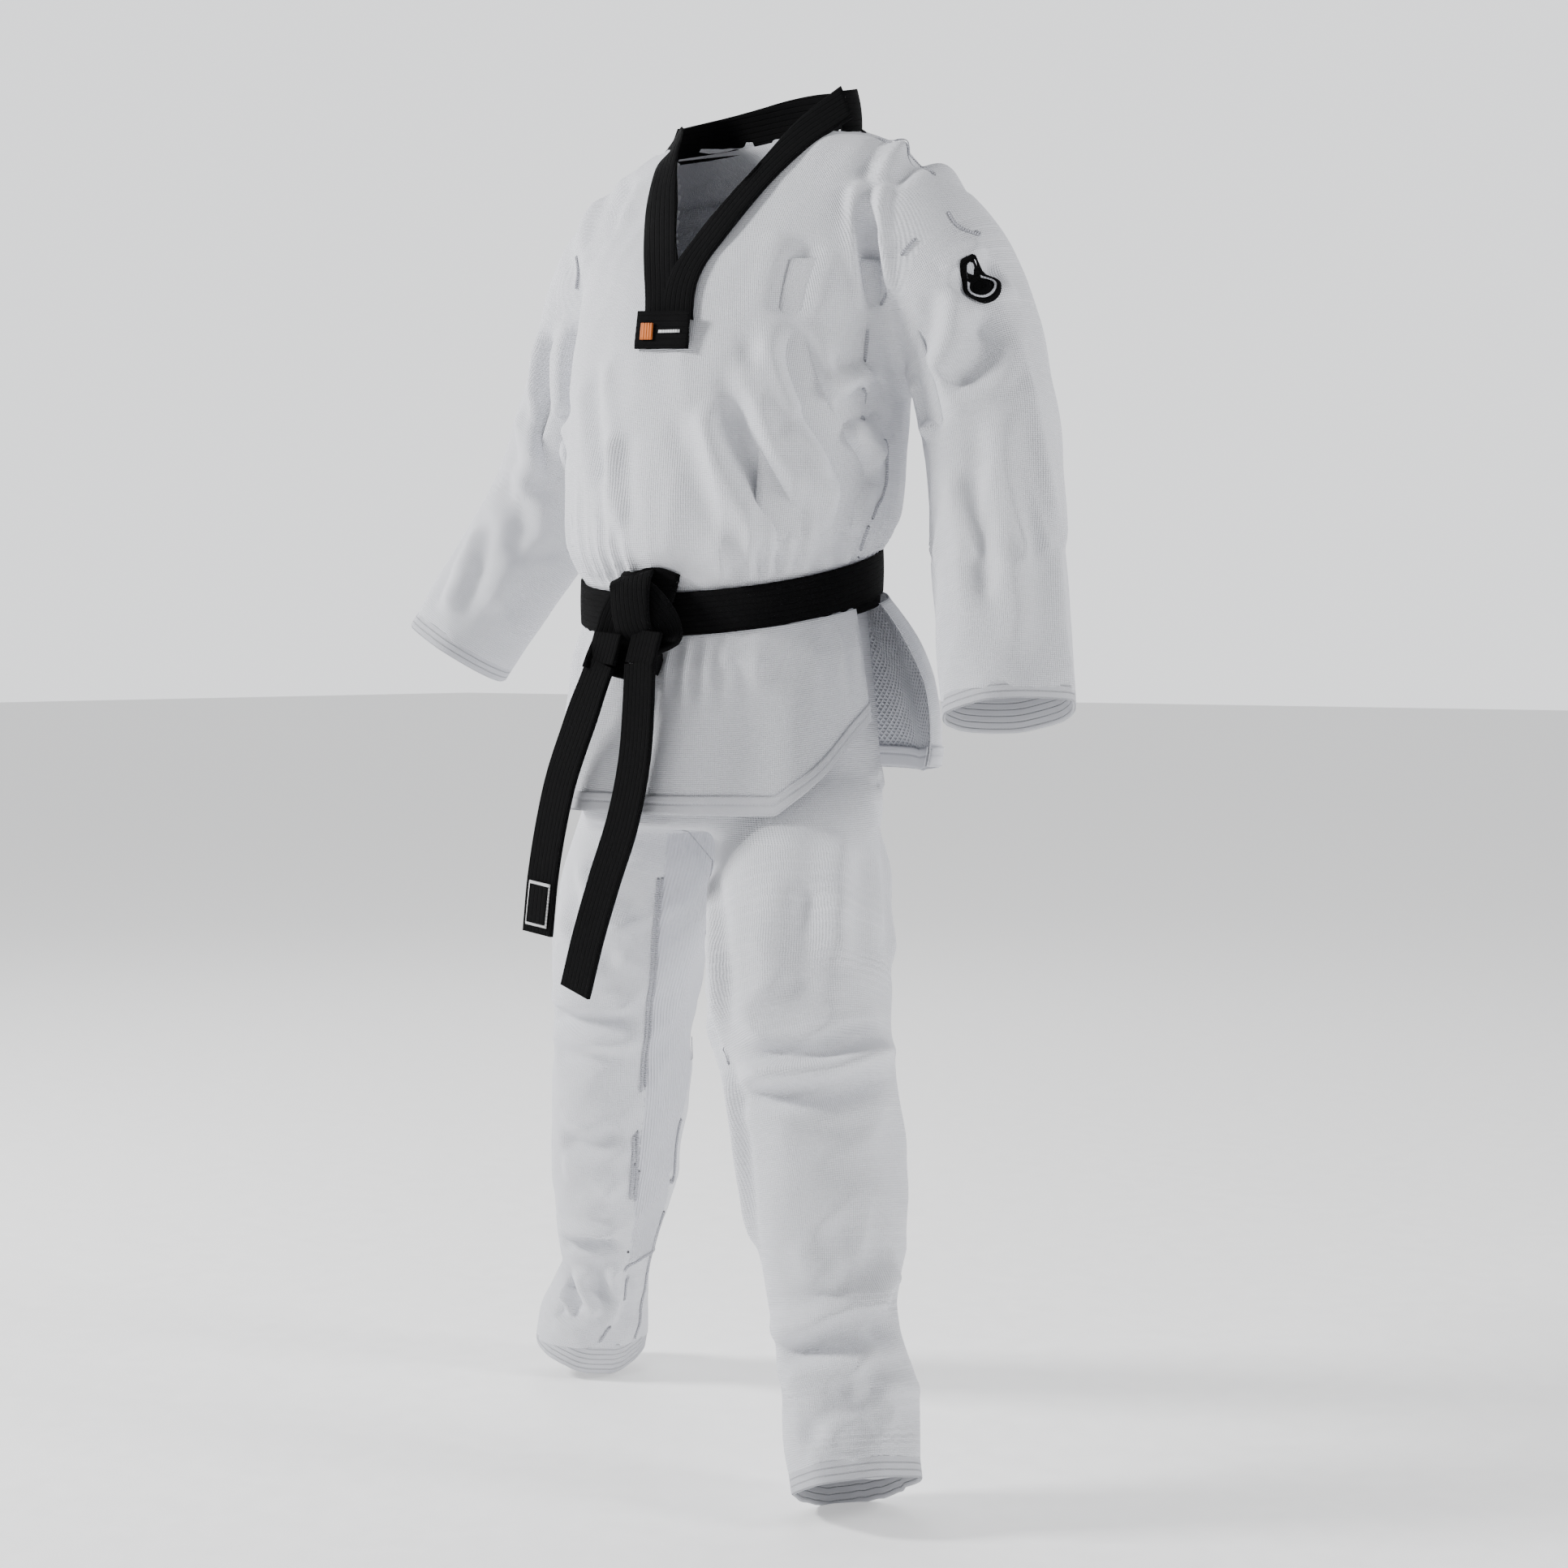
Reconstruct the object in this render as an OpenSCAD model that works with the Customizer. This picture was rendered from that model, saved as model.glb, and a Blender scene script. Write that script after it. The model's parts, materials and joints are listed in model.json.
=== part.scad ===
// Martial arts uniform: V-neck pullover jacket, tied belt and trousers, in the shape of
// a standing wearer. Millimetres. Z is up, the front faces -Y and +X is the wearer's left.
// The origin is the centre of the waist, at the height of the belt.

/* [Cloth] */
// Thickness of every cloth wall
cloth = 2.5; // [1.5:0.5:3]
// Running gap where one cloth wall slides over another
slide_gap = 2; // [1.5:0.5:3]

/* [Jacket] */
// Half-width at the belt
waist_half_width = 170; // [160:1:180]
// Half-depth at the belt
waist_half_depth = 130; // [120:1:140]
// Half-width of the chest below the arms
chest_half_width = 202; // [195:1:206]
// Half-depth of the chest
chest_half_depth = 148; // [140:1:154]
// Height of the base of the neck
neck_height = 475; // [465:1:485]
// Height of the point of the V neck
v_height = 300; // [280:1:315]
// Height of the lowest point of the armholes
armhole_low = 250; // [245:1:260]
// Height of the highest point of the armholes
armhole_high = 440; // [430:1:445]
// Share of the jacket's side that each side panel takes, in degrees either way
side_panel_angle = 16; // [10:1:20]

/* [Collar] */
// Width of the collar band on the chest
collar_width = 34; // [26:1:38]
// Height that the collar stands above the neck at the back
collar_stand = 46; // [35:1:50]
// Thickness of the collar band
collar_thickness = 3; // [2:0.5:4]
// Width of the patch below the V
label_width = 76; // [60:1:84]
// Height of the patch below the V
label_height = 38; // [30:1:42]

/* [Sleeves] */
// Radius of the sleeve over the shoulder's sliding joint
shoulder_radius = 68; // [64:1:70]
// Radius of the sleeve inside the elbow
elbow_radius = 65; // [60:1:66]
// Outer radius at the cuffs
cuff_radius = 66; // [62:1:68]
// Depth of the stitched cuff
cuff_depth = 50; // [35:1:60]
// How far a sleeve rises sideways, in degrees
sleeve_raise = 40; // [20:1:40]
// How far a sleeve bends at the elbow, in degrees
elbow_bend = 65; // [30:1:70]

/* [Skirt] */
// Length of the front skirt below the middle of the belt
front_skirt_length = 250; // [220:1:252]
// Length of the back skirt below the middle of the belt
back_skirt_length = 215; // [190:1:240]
// How far up each hem corner is cut away
corner_cut = 100; // [60:1:110]
// Depth of the stitched hem facing
facing_depth = 20; // [14:1:26]

/* [Belt] */
// Width of the belt
belt_width = 45; // [38:1:50]
// Thickness of one wrap of the belt
belt_thickness = 3; // [2:0.5:4]
// Rise of the belt from front to back, per unit of depth
belt_rise = 0.23; // [0:0.01:0.25]

/* [Trousers] */
// Height of the elastic waistband
waistband_height = 38; // [30:1:42]
// Radius of the trouser leg inside the thigh's sliding joint
thigh_radius = 93; // [88:1:94]
// Radius of the trouser leg inside the knee
knee_radius = 80; // [76:1:82]
// Outer radius at the trouser hem
hem_radius = 70; // [64:1:74]
// Depth of the stitched trouser hem
hem_depth = 38; // [25:1:45]
// How far a leg swings forward, in degrees
leg_forward = 28; // [20:1:30]
// How far a leg swings back, in degrees
leg_back = 10; // [0:1:11]
// How far a knee bends, in degrees
knee_bend = 55; // [30:1:60]

/* [Hidden] */
around = 30;
lip_angle = 42;
armhole_spread = 40;
armhole_mid = (armhole_low + armhole_high) / 2;
armhole_half = (armhole_high - armhole_low) / 2;
skirt_top = -37;
seat_low = -215;
front_dir = [0, -1, 0];
back_dir = [0, 1, 0];

// Pivots and ends of the limbs
shoulder_left = [270, 70, 225];
elbow_left = [308, 47, 85];
wrist_left = [355, -14, -130];
shoulder_right = [-268, 75, 225];
elbow_right = [-340, 75, 95];
wrist_right = [-426, 22, -65];
thigh_left = [153, -70, -350];
knee_left = [197, -112, -480];
ankle_left = [291, -166, -865];
thigh_right = [-151, 22, -350];
knee_right = [-188, 40, -490];
ankle_right = [-282, 89, -865];

// Jacket outline by height: half-width, half-depth and centre of depth
jacket_width = [
  [-30, waist_half_width], [30, waist_half_width], [100, 190], [180, chest_half_width - 4],
  [250, chest_half_width], [310, 208], [400, 214], [440, 210], [455, 188], [468, 150],
  [neck_height, 120]
];
jacket_depth = [
  [-30, waist_half_depth], [30, waist_half_depth], [100, 146], [180, chest_half_depth],
  [250, chest_half_depth], [340, 130], [370, 112], [400, 94], [440, 78], [neck_height, 68]
];
jacket_centre = [
  [30, 0], [100, 5], [180, 12], [250, 20], [340, 36], [400, 46], [440, 52], [neck_height, 55]
];
// Skirt outline by height
front_width = [[-260, 202], [-170, 192], [-100, 183], [skirt_top, 173]];
front_depth = [[-260, 164], [-170, 152], [-100, 142], [skirt_top, 133]];
back_width = [[-240, 218], [-170, 212], [-100, 196], [skirt_top, 173]];
back_depth = [[-240, 206], [-170, 192], [-100, 166], [skirt_top, 133]];
// Seat outline by height
seat_width = [[seat_low, 176], [-150, 170], [-80, 162], [-10, 156], [30, 156]];
seat_depth = [[seat_low, 134], [-150, 130], [-80, 124], [-10, 117], [30, 117]];
// Edge of the V neck: share of the front's width either side of the middle, and height
v_edge = [
  [0, v_height], [0.083, 340], [0.164, 387], [0.185, 430], [0.215, 455], [0.39, 472],
  [0.5, neck_height]
];
v_share = [[v_height, 0], [340, 0.083], [387, 0.164], [430, 0.185], [455, 0.215], [472, 0.39]];
v_columns = [
  0.5, 0.45, 0.39, 0.33, 0.27, 0.215, 0.185, 0.164, 0.125, 0.083, 0.04, 0,
  -0.04, -0.083, -0.125, -0.164, -0.185, -0.215, -0.27, -0.33, -0.39, -0.45, -0.5
];
jacket_rows = [
  0, 0.09, 0.19, 0.31, 0.43, 0.53, 0.565, 0.6, 0.65, 0.71, 0.77, 0.83, 0.88, 0.917, 0.965, 1
];

function mix(a, b, t) = a + (b - a) * t;
function unit(v) = v / norm(v);
function steps(a, b, n) = [for (i = [0 : n]) mix(a, b, i / n)];

// Part of a direction that is square to an axis
function square_to(v, axis) = unit(v - axis * (v * axis));

// Closed solid between an outer and an inner grid of points, whole or part way round
module cloth_solid(outer, inner, whole = false) {
  rows = len(outer);
  cols = len(outer[0]);
  spans = whole ? cols : cols - 1;
  count = rows * cols;
  r = floor((rows - 1) / 2);
  c = floor((cols - 1) / 2);
  normal = cross(outer[r][c + 1] - outer[r][c], outer[r + 1][c] - outer[r][c]);
  facing = normal * (outer[r][c] - inner[r][c]) > 0;
  skin = [
    for (i = [0 : rows - 2], j = [0 : spans - 1])
      let (a = i * cols + j, b = i * cols + (j + 1) % cols)
        each [[a, b + cols, b], [a, a + cols, b + cols]]
  ];
  lining = [for (f = skin) [f[0] + count, f[2] + count, f[1] + count]];
  first_rim = [
    for (j = [0 : spans - 1])
      let (a = j, b = (j + 1) % cols)
        each [[a, b, b + count], [a, b + count, a + count]]
  ];
  last_rim = [
    for (j = [0 : spans - 1])
      let (a = (rows - 1) * cols + j, b = (rows - 1) * cols + (j + 1) % cols)
        each [[a, b + count, b], [a, a + count, b + count]]
  ];
  sides = whole ? [] : [
    for (i = [0 : rows - 2])
      let (a = i * cols, b = a + cols, c = a + cols - 1, d = c + cols)
        each [
          [a, b + count, b], [a, a + count, b + count],
          [c, d, d + count], [c, d + count, c + count]
        ]
  ];
  faces = concat(skin, lining, first_rim, last_rim, sides);
  points = concat([for (row = outer) each row], [for (row = inner) each row]);
  polyhedron(points, facing ? faces : [for (f = faces) [f[0], f[2], f[1]]], convexity = 8);
}

// How much of the belt's rise a height shares
function rise(level) = belt_rise * max(0, 1 - abs(level) / 200);

// Point on an oval body of revolution, at a height and an angle from the wearer's left
function oval(width, depth, centre, level, angle, off) =
  let (y = centre + (depth + off) * sin(angle))
    [(width + off) * cos(angle), y, level + rise(level) * y];
function jacket(level, angle, off) = oval(
  lookup(level, jacket_width), lookup(level, jacket_depth), lookup(level, jacket_centre),
  level, angle, off
);
function front_skirt(level, angle, off) =
  oval(lookup(level, front_width), lookup(level, front_depth), 0, level, angle, off);
function back_skirt(level, angle, off) =
  oval(lookup(level, back_width), lookup(level, back_depth), 0, level, angle, off);
function seat(level, angle, off) =
  oval(lookup(level, seat_width), lookup(level, seat_depth), 0, level, angle, off);

// Angle between the wearer's side and the edge of the front or back panel
function panel_gap(level) =
  level > armhole_high ? 0 :
  max(
    level < armhole_mid ? side_panel_angle : 0,
    level < armhole_low ? 0 :
    armhole_spread * sqrt(max(0, 1 - pow((level - armhole_mid) / armhole_half, 2)))
  );

// Front panel point at a share across from the middle and a share of the way up
function front_point(share, up, off) =
  let (
    level = mix(-22, lookup(abs(share), v_edge), up),
    gap = panel_gap(level)
  )
    jacket(level, 270 + share * (180 - 2 * gap), off);
function back_point(share, up, off) =
  let (
    level = mix(-22, neck_height, up),
    gap = panel_gap(level)
  )
    jacket(level, 90 + share * (180 - 2 * gap), off);

module jacket_front_panel()
  color("white")
    cloth_solid(
      [for (up = jacket_rows) [for (share = v_columns) front_point(share, up, 0)]],
      [for (up = jacket_rows) [for (share = v_columns) front_point(share, up, -cloth)]]
    );

module jacket_back_panel()
  color("white")
    cloth_solid(
      [for (up = jacket_rows) [for (share = steps(-0.5, 0.5, 20)) back_point(share, up, 0)]],
      [for (up = jacket_rows) [for (share = steps(-0.5, 0.5, 20)) back_point(share, up, -cloth)]]
    );

// Side panel below an armhole, centred on an angle
function side_point(middle, turn, up, off) =
  let (top = armhole_mid - armhole_half * sqrt(1 - pow(turn / armhole_spread, 2)))
    jacket(mix(-22, top, up), middle + turn, off);

module side_panel(middle) {
  turns = steps(-side_panel_angle + 0.3, side_panel_angle - 0.3, 4);
  color("gainsboro")
    cloth_solid(
      [for (up = steps(0, 1, 8)) [for (turn = turns) side_point(middle, turn, up, 0)]],
      [for (up = steps(0, 1, 8)) [for (turn = turns) side_point(middle, turn, up, -cloth)]]
    );
}

// Edge of an armhole: 0 degrees is the shoulder, 90 the chest and 180 the armpit
function armhole(side, turn, off) =
  let (angle = -armhole_spread * sin(turn))
    jacket(armhole_mid + armhole_half * cos(turn), side > 0 ? angle : 180 - angle, off);

// Ring round a limb's axis
function ring(centre, axis, toward, radius, turn) =
  let (across = cross(axis, toward))
    centre + radius * (toward * cos(turn) + across * sin(turn));

// Shoulder cap: row 0 at the armhole, row 6 at the sleeve's pivot, then the sliding lip.
// The right cap turns the other way round, so that 90 degrees is the chest on both sides.
function cap_point(side, pivot, axis, row, turn, off) =
  let (
    toward = square_to([side, 0, 0], axis),
    way = side > 0 ? turn : -turn,
    share = 0.02 + 0.98 * min(row, 6) / 6,
    polar = 90 - (90 - lip_angle) * max(0, row - 6) / 4,
    swell = 34 * sin(180 * share) * max(0, cos(turn)),
    reach = shoulder_radius + (row > 6 ? off : 0),
    end = ring(pivot + axis * reach * cos(polar), axis, toward, reach * sin(polar), way)
  )
    row > 6 ? end :
    mix(armhole(side, turn, 0), end, share) + swell * unit(toward - axis) +
    ring([0, 0, 0], axis, toward, off, way);

module cap_part(side, pivot, elbow, from, to, count, first) {
  axis = unit(elbow - pivot);
  turns = steps(from, to, count);
  color("white")
    cloth_solid(
      [for (row = [first : 10]) [for (turn = turns) cap_point(side, pivot, axis, row, turn, 0)]],
      [for (row = [first : 10]) [for (turn = turns) cap_point(side, pivot, axis, row, turn, -cloth)]]
    );
}

module shoulder_badge() {
  axis = unit(elbow_left - shoulder_left);
  color("silver")
    cloth_solid(
      [for (row = [3.2, 3.7, 4.2]) [
        for (turn = steps(26, 56, 3)) cap_point(1, shoulder_left, axis, row, turn, 1.8)
      ]],
      [for (row = [3.2, 3.7, 4.2]) [
        for (turn = steps(26, 56, 3)) cap_point(1, shoulder_left, axis, row, turn, 0.6)
      ]]
    );
}

// Point on the front of the jacket at a distance from the middle
function chest_at(x, level, off) =
  jacket(level, 360 - acos(x / lookup(level, jacket_width)), off);

// Collar band: up runs from the V to the neck, across from the inner to the outer edge
function band_point(side, up, across, off) =
  let (
    level = mix(v_height, 470, up),
    angle = 270 + lookup(level, v_share) * (180 - 2 * panel_gap(level)),
    x = lookup(level, jacket_width) * cos(angle)
  )
    chest_at(
      side * (x + 1 + across * mix(26, collar_width, up)),
      level - across * mix(30, 18, up),
      off
    );

module collar_band(side)
  color("black")
    cloth_solid(
      [for (up = steps(0, 1, 12)) [
        for (across = steps(0, 1, 3)) band_point(side, up, across, collar_thickness + 4.2)
      ]],
      [for (up = steps(0, 1, 12)) [
        for (across = steps(0, 1, 3)) band_point(side, up, across, 4.2)
      ]]
    );

module collar_back_band() {
  function stand(up, turn, off) =
    oval(
      mix(121, 110, up), mix(69, 64, up), mix(55, 60, up),
      neck_height + 1 + up * (collar_stand - 1), turn, off
    );
  color("black")
    cloth_solid(
      [for (up = steps(0, 1, 3)) [for (turn = steps(-8, 188, 20)) stand(up, turn, collar_thickness)]],
      [for (up = steps(0, 1, 3)) [for (turn = steps(-8, 188, 20)) stand(up, turn, 0)]]
    );
}

module collar_patch()
  color("black")
    cloth_solid(
      [for (level = [236, 255, 236 + label_height]) [
        for (x = steps(-label_width / 2, label_width / 2, 4))
          chest_at(x, level, collar_thickness + 7)
      ]],
      [for (level = [236, 255, 236 + label_height]) [
        for (x = steps(-label_width / 2, label_width / 2, 4))
          chest_at(x, level, collar_thickness + 5)
      ]]
    );

// Ring of belt round the waist, between two offsets from the jacket
module belt_wrap(low, high, near, far)
  color([0.08, 0.08, 0.08])
    cloth_solid(
      [for (level = [low, high]) [
        for (turn = steps(0, 360 - 360 / 40, 39))
          let (p = jacket(0, turn, far)) [p[0], p[1], level + belt_rise * p[1]]
      ]],
      [for (level = [low, high]) [
        for (turn = steps(0, 360 - 360 / 40, 39))
          let (p = jacket(0, turn, near)) [p[0], p[1], level + belt_rise * p[1]]
      ]],
      whole = true
    );
module belt_inner_wrap()
  belt_wrap(-belt_width / 2 - 4, belt_width / 2 - 4, 1.5, belt_thickness + 1.5);
module belt_outer_wrap()
  belt_wrap(-belt_width / 2 + 1, belt_width / 2 + 1, belt_thickness + 2.1, 2 * belt_thickness + 2.1);

module belt_knot()
  color([0.05, 0.05, 0.05])
    hull() {
      translate([-28, -149, -2])
        sphere(9, $fn = 16);
      translate([42, -149, -8])
        sphere(9, $fn = 16);
      translate([-26, -149, -50])
        sphere(9, $fn = 16);
      translate([34, -149, -58])
        sphere(9, $fn = 16);
      translate([8, -157, -30])
        sphere(13, $fn = 16);
    }

// Wide strip along a row of middle points, with the same sideways direction throughout
module strip(middles, sideways, width, thickness, lift = 0) {
  last = len(middles) - 1;
  along = [
    for (i = [0 : last]) unit(middles[min(i + 1, last)] - middles[max(i - 1, 0)])
  ];
  normals = [for (a = along) unit(cross(a, sideways))];
  cloth_solid(
    [for (i = [0 : last]) [
      for (s = [-0.5, 0, 0.5]) middles[i] + sideways * s * width + normals[i] * (lift + thickness)
    ]],
    [for (i = [0 : last]) [
      for (s = [-0.5, 0, 0.5]) middles[i] + sideways * s * width + normals[i] * lift
    ]]
  );
}

left_tail_path = [
  [21, -174, -80], [24, -176, -120], [22, -178, -170], [8, -182, -240], [-14, -185, -300],
  [-34, -188, -360], [-50, -190, -414]
];
right_tail_path = [
  [-30, -174, -80], [-42, -175, -110], [-60, -176, -150], [-80, -178, -200], [-92, -181, -250],
  [-100, -184, -300], [-106, -186, -358]
];
tail_side = unit([0.97, -0.1, 0.16]);

module belt_left_tail()
  color([0.08, 0.08, 0.08])
    strip(left_tail_path, tail_side, belt_width - 1, 4);
module belt_right_tail()
  color([0.08, 0.08, 0.08])
    strip(right_tail_path, tail_side, belt_width - 1, 4);
module belt_tail_patch()
  color("white")
    strip(
      [[-101, -184.5, -305], [-103.5, -185.2, -330], [-105.6, -185.9, -352]],
      tail_side, belt_width - 8, 1.2, 4.6
    );

module waistband()
  color("white")
    cloth_solid(
      [for (level = [-18, waistband_height - 18]) [
        for (turn = steps(0, 350, 35)) seat(level, turn, 1.5)
      ]],
      [for (level = [-18, waistband_height - 18]) [
        for (turn = steps(0, 350, 35)) seat(level, turn, -1)
      ]],
      whole = true
    );
module waist_elastic()
  color("lightgray")
    cloth_solid(
      [for (level = [-12, waistband_height - 24]) [
        for (turn = steps(0, 350, 35)) seat(level, turn, -1.5)
      ]],
      [for (level = [-12, waistband_height - 24]) [
        for (turn = steps(0, 350, 35)) seat(level, turn, -3)
      ]],
      whole = true
    );
module waistband_eyelets()
  color("silver")
    for (x = [-18, 18])
      translate([x, -119.8, -27])
        rotate([90, 0, 0])
          difference() {
            cylinder(h = 1.2, r = 6, $fn = 24);
            translate([0, 0, -1])
              cylinder(h = 4, r = 3, $fn = 24);
          }

module seat_half(middle)
  color("white")
    cloth_solid(
      [for (level = steps(seat_low, -20, 6)) [
        for (turn = steps(middle - 90, middle + 90, 18)) seat(level, turn, 0)
      ]],
      [for (level = steps(seat_low, -20, 6)) [
        for (turn = steps(middle - 90, middle + 90, 18)) seat(level, turn, -cloth)
      ]]
    );

// Half of the seat's outline, with a flat inner wall beside the middle seam
function half_seat(side, level, inner, turn, off) =
  let (
    width = lookup(seat_low, seat_width) + off,
    depth = lookup(seat_low, seat_depth) + off,
    middle = side * 88,
    x = -sin(turn),
    y = -cos(turn),
    a = pow(x / width, 2) + pow(y / depth, 2),
    b = 2 * middle * x / pow(width, 2),
    c = pow(middle / width, 2) - 1,
    to_oval = (-b + sqrt(b * b - 4 * a * c)) / (2 * a),
    to_wall = side * x < -0.001 ? (88 - inner + off) / abs(x) : 1000,
    reach = min(to_oval, to_wall)
  )
    [middle + x * reach, y * reach, level];

// Root of a leg: rows 0 and 1 follow the half seat, row 5 is the pivot, then the sliding lip
function root_point(side, pivot, axis, row, turn, off) =
  let (
    toward = square_to(front_dir, axis),
    polar = 90 - (90 - lip_angle) * max(0, row - 5) / 4,
    end = ring(
      pivot + axis * (thigh_radius + off) * cos(polar), axis, toward,
      (thigh_radius + off) * sin(polar), turn
    ),
    t = (min(row, 5) - 1) / 4
  )
    row == 0 ? half_seat(side, seat_low - 2, 1.5, turn, off) :
    row > 5 ? end :
    mix(half_seat(side, seat_low - 20, 4, turn, off), end, t * t * (3 - 2 * t));

module leg_root(side, pivot, knee) {
  axis = unit(knee - pivot);
  turns = steps(0, 360 - 360 / around, around - 1);
  color("white")
    cloth_solid(
      [for (row = [0 : 9]) [for (turn = turns) root_point(side, pivot, axis, row, turn, 0)]],
      [for (row = [0 : 9]) [for (turn = turns) root_point(side, pivot, axis, row, turn, -cloth)]],
      whole = true
    );
}

// Distance down a limb at which its top rim lies, so that it clears the wall above it
function rim(radius, turn, bend, spread) =
  radius * (cos(turn) > 0 ? cos(turn) * tan(bend / 2) : -cos(turn) * tan(spread / 2));

// Limb tube from its slanted rim to its end; profile is outer radius by distance. A joint
// radius above 0 ends the tube in a sliding lip for the next joint.
function tube_point(start, axis, toward, profile, bend, spread, length, joint, share, turn, off) =
  let (
    from = rim(lookup(0, profile), turn, bend, spread),
    at = mix(from, length, min(share, 1)),
    polar = 90 - (90 - lip_angle) * max(0, share - 1)
  )
    share > 1 ?
    ring(start + axis * (length + (joint + off) * cos(polar)), axis, toward,
      (joint + off) * sin(polar), turn) :
    ring(start + axis * at, axis, toward, lookup(at, profile) + off, turn);

module tube(start, stop, forward, profile, bend, spread, length, joint, from, to, rows) {
  axis = unit(stop - start);
  toward = square_to(forward, axis);
  whole = to - from >= 360;
  count = round((to - from) * around / 360);
  turns = whole ? steps(from, to - 360 / around, count - 1) : steps(from, to, count);
  shares = concat(steps(0, 1, rows), joint > 0 ? steps(1.25, 2, 3) : []);
  cloth_solid(
    [for (share = shares) [for (turn = turns) tube_point(
      start, axis, toward, profile, bend, spread, length, joint, share, turn, 0)]],
    [for (share = shares) [for (turn = turns) tube_point(
      start, axis, toward, profile, bend, spread, length, joint, share, turn, -cloth)]],
    whole
  );
}

// Angle already between two lengths of a limb
function standing(a, b, c) = acos(unit(b - a) * unit(c - b));

module upper_sleeve(side, shoulder, elbow) {
  length = norm(elbow - shoulder);
  wide = shoulder_radius + slide_gap + cloth;
  color("white")
    tube(
      shoulder, elbow, [side, 0, 0],
      [[0, wide], [45, wide - 1], [95, elbow_radius], [length, elbow_radius]],
      sleeve_raise + 9, 6, length, elbow_radius, 0, 360, 6
    );
}
module lower_sleeve(shoulder, elbow, wrist) {
  length = norm(wrist - elbow);
  wide = elbow_radius + slide_gap + cloth;
  color("white")
    tube(
      elbow, wrist, front_dir,
      [[0, wide], [60, wide], [length - cuff_depth, cuff_radius]],
      elbow_bend + standing(shoulder, elbow, wrist), 4, length - cuff_depth - 0.5, 0, 0, 360, 6
    );
}
module cuff(elbow, wrist) {
  axis = unit(wrist - elbow);
  toward = square_to(front_dir, axis);
  turns = steps(0, 360 - 360 / around, around - 1);
  color("whitesmoke")
    cloth_solid(
      [for (back = [cuff_depth, cuff_depth / 2, 0]) [
        for (turn = turns) ring(wrist - axis * back, axis, toward, cuff_radius + 1, turn)
      ]],
      [for (back = [cuff_depth, cuff_depth / 2, 0]) [
        for (turn = turns) ring(wrist - axis * back, axis, toward, cuff_radius - cloth, turn)
      ]],
      whole = true
    );
}

// Height of the skirt's hem at an angle from the wearer's side, with its cut corner
function hem_level(length, angle) = -length + corner_cut * max(0, 1 - angle / 40);

module front_skirt_slab(near, far, depth) {
  turns = [183, 189, 196, 205, 213, 221, 232, 245, 258, 270, 282, 295, 308, 319, 327, 335, 344, 351, 357];
  rows = depth > 0 ? [0, 0.5, 1] : steps(0, 1, 6);
  function level(turn, up) =
    let (hem = hem_level(front_skirt_length, min(turn - 180, 360 - turn)))
      mix(hem, depth > 0 ? hem + depth : skirt_top, up);
  cloth_solid(
    [for (up = rows) [for (turn = turns) front_skirt(level(turn, up), turn, far)]],
    [for (up = rows) [for (turn = turns) front_skirt(level(turn, up), turn, near)]]
  );
}
module front_skirt_panel()
  color("white")
    front_skirt_slab(-cloth, 0, 0);
module front_hem_facing()
  color("whitesmoke")
    front_skirt_slab(-cloth - 2.4, -cloth - 1.2, facing_depth);

module back_skirt_slab(near, far, depth) {
  turns = [5, 13, 21, 30, 38, 46, 58, 74, 90, 106, 122, 134, 142, 150, 159, 167, 175];
  rows = depth > 0 ? [0, 0.5, 1] : steps(0, 1, 6);
  function level(turn, up) =
    let (hem = hem_level(back_skirt_length, min(turn, 180 - turn)))
      mix(hem, depth > 0 ? hem + depth : skirt_top, up);
  cloth_solid(
    [for (up = rows) [for (turn = turns) back_skirt(level(turn, up), turn, far)]],
    [for (up = rows) [for (turn = turns) back_skirt(level(turn, up), turn, near)]]
  );
}
module back_skirt_panel()
  color("white")
    back_skirt_slab(-cloth, 0, 0);
module back_hem_facing()
  color("whitesmoke")
    back_skirt_slab(-cloth - 2.4, -cloth - 1.2, facing_depth);

// The inner-leg gusset takes the middle fifth of each leg, on the side of the other leg.
// Turns run from the front (0) to the wearer's right (90) and the back (180).
function gusset_from(side) = side > 0 ? 60 : 240;
module thigh_part(side, pivot, knee, gusset) {
  length = norm(knee - pivot);
  wide = thigh_radius + slide_gap + cloth;
  from = gusset ? gusset_from(side) : gusset_from(side) + 60;
  tube(
    pivot, knee, front_dir,
    [[0, wide], [45, wide - 1], [95, knee_radius], [length, knee_radius]],
    leg_forward + 16, leg_back + 7, length, knee_radius, from, from + (gusset ? 60 : 300), 6
  );
}
function shin_profile(length) = [
  [0, knee_radius + slide_gap + cloth], [110, 82], [200, 73], [260, 67], [330, 68],
  [length, hem_radius]
];
module shin_panel(side, pivot, knee, ankle) {
  length = norm(ankle - knee);
  color("white")
    tube(
      knee, ankle, back_dir, shin_profile(length),
      knee_bend + 10 + standing(pivot, knee, ankle), 4, length - hem_depth - 0.5, 0,
      gusset_from(side) + 240, gusset_from(side) + 540, 8
    );
}
module shin_gusset(side, pivot, knee, ankle) {
  length = norm(ankle - knee);
  color("gainsboro")
    tube(
      knee, ankle, back_dir, shin_profile(length),
      knee_bend + 10 + standing(pivot, knee, ankle), 4, length - hem_depth - 0.5, 0,
      gusset_from(side) + 180, gusset_from(side) + 240, 8
    );
}
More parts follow.
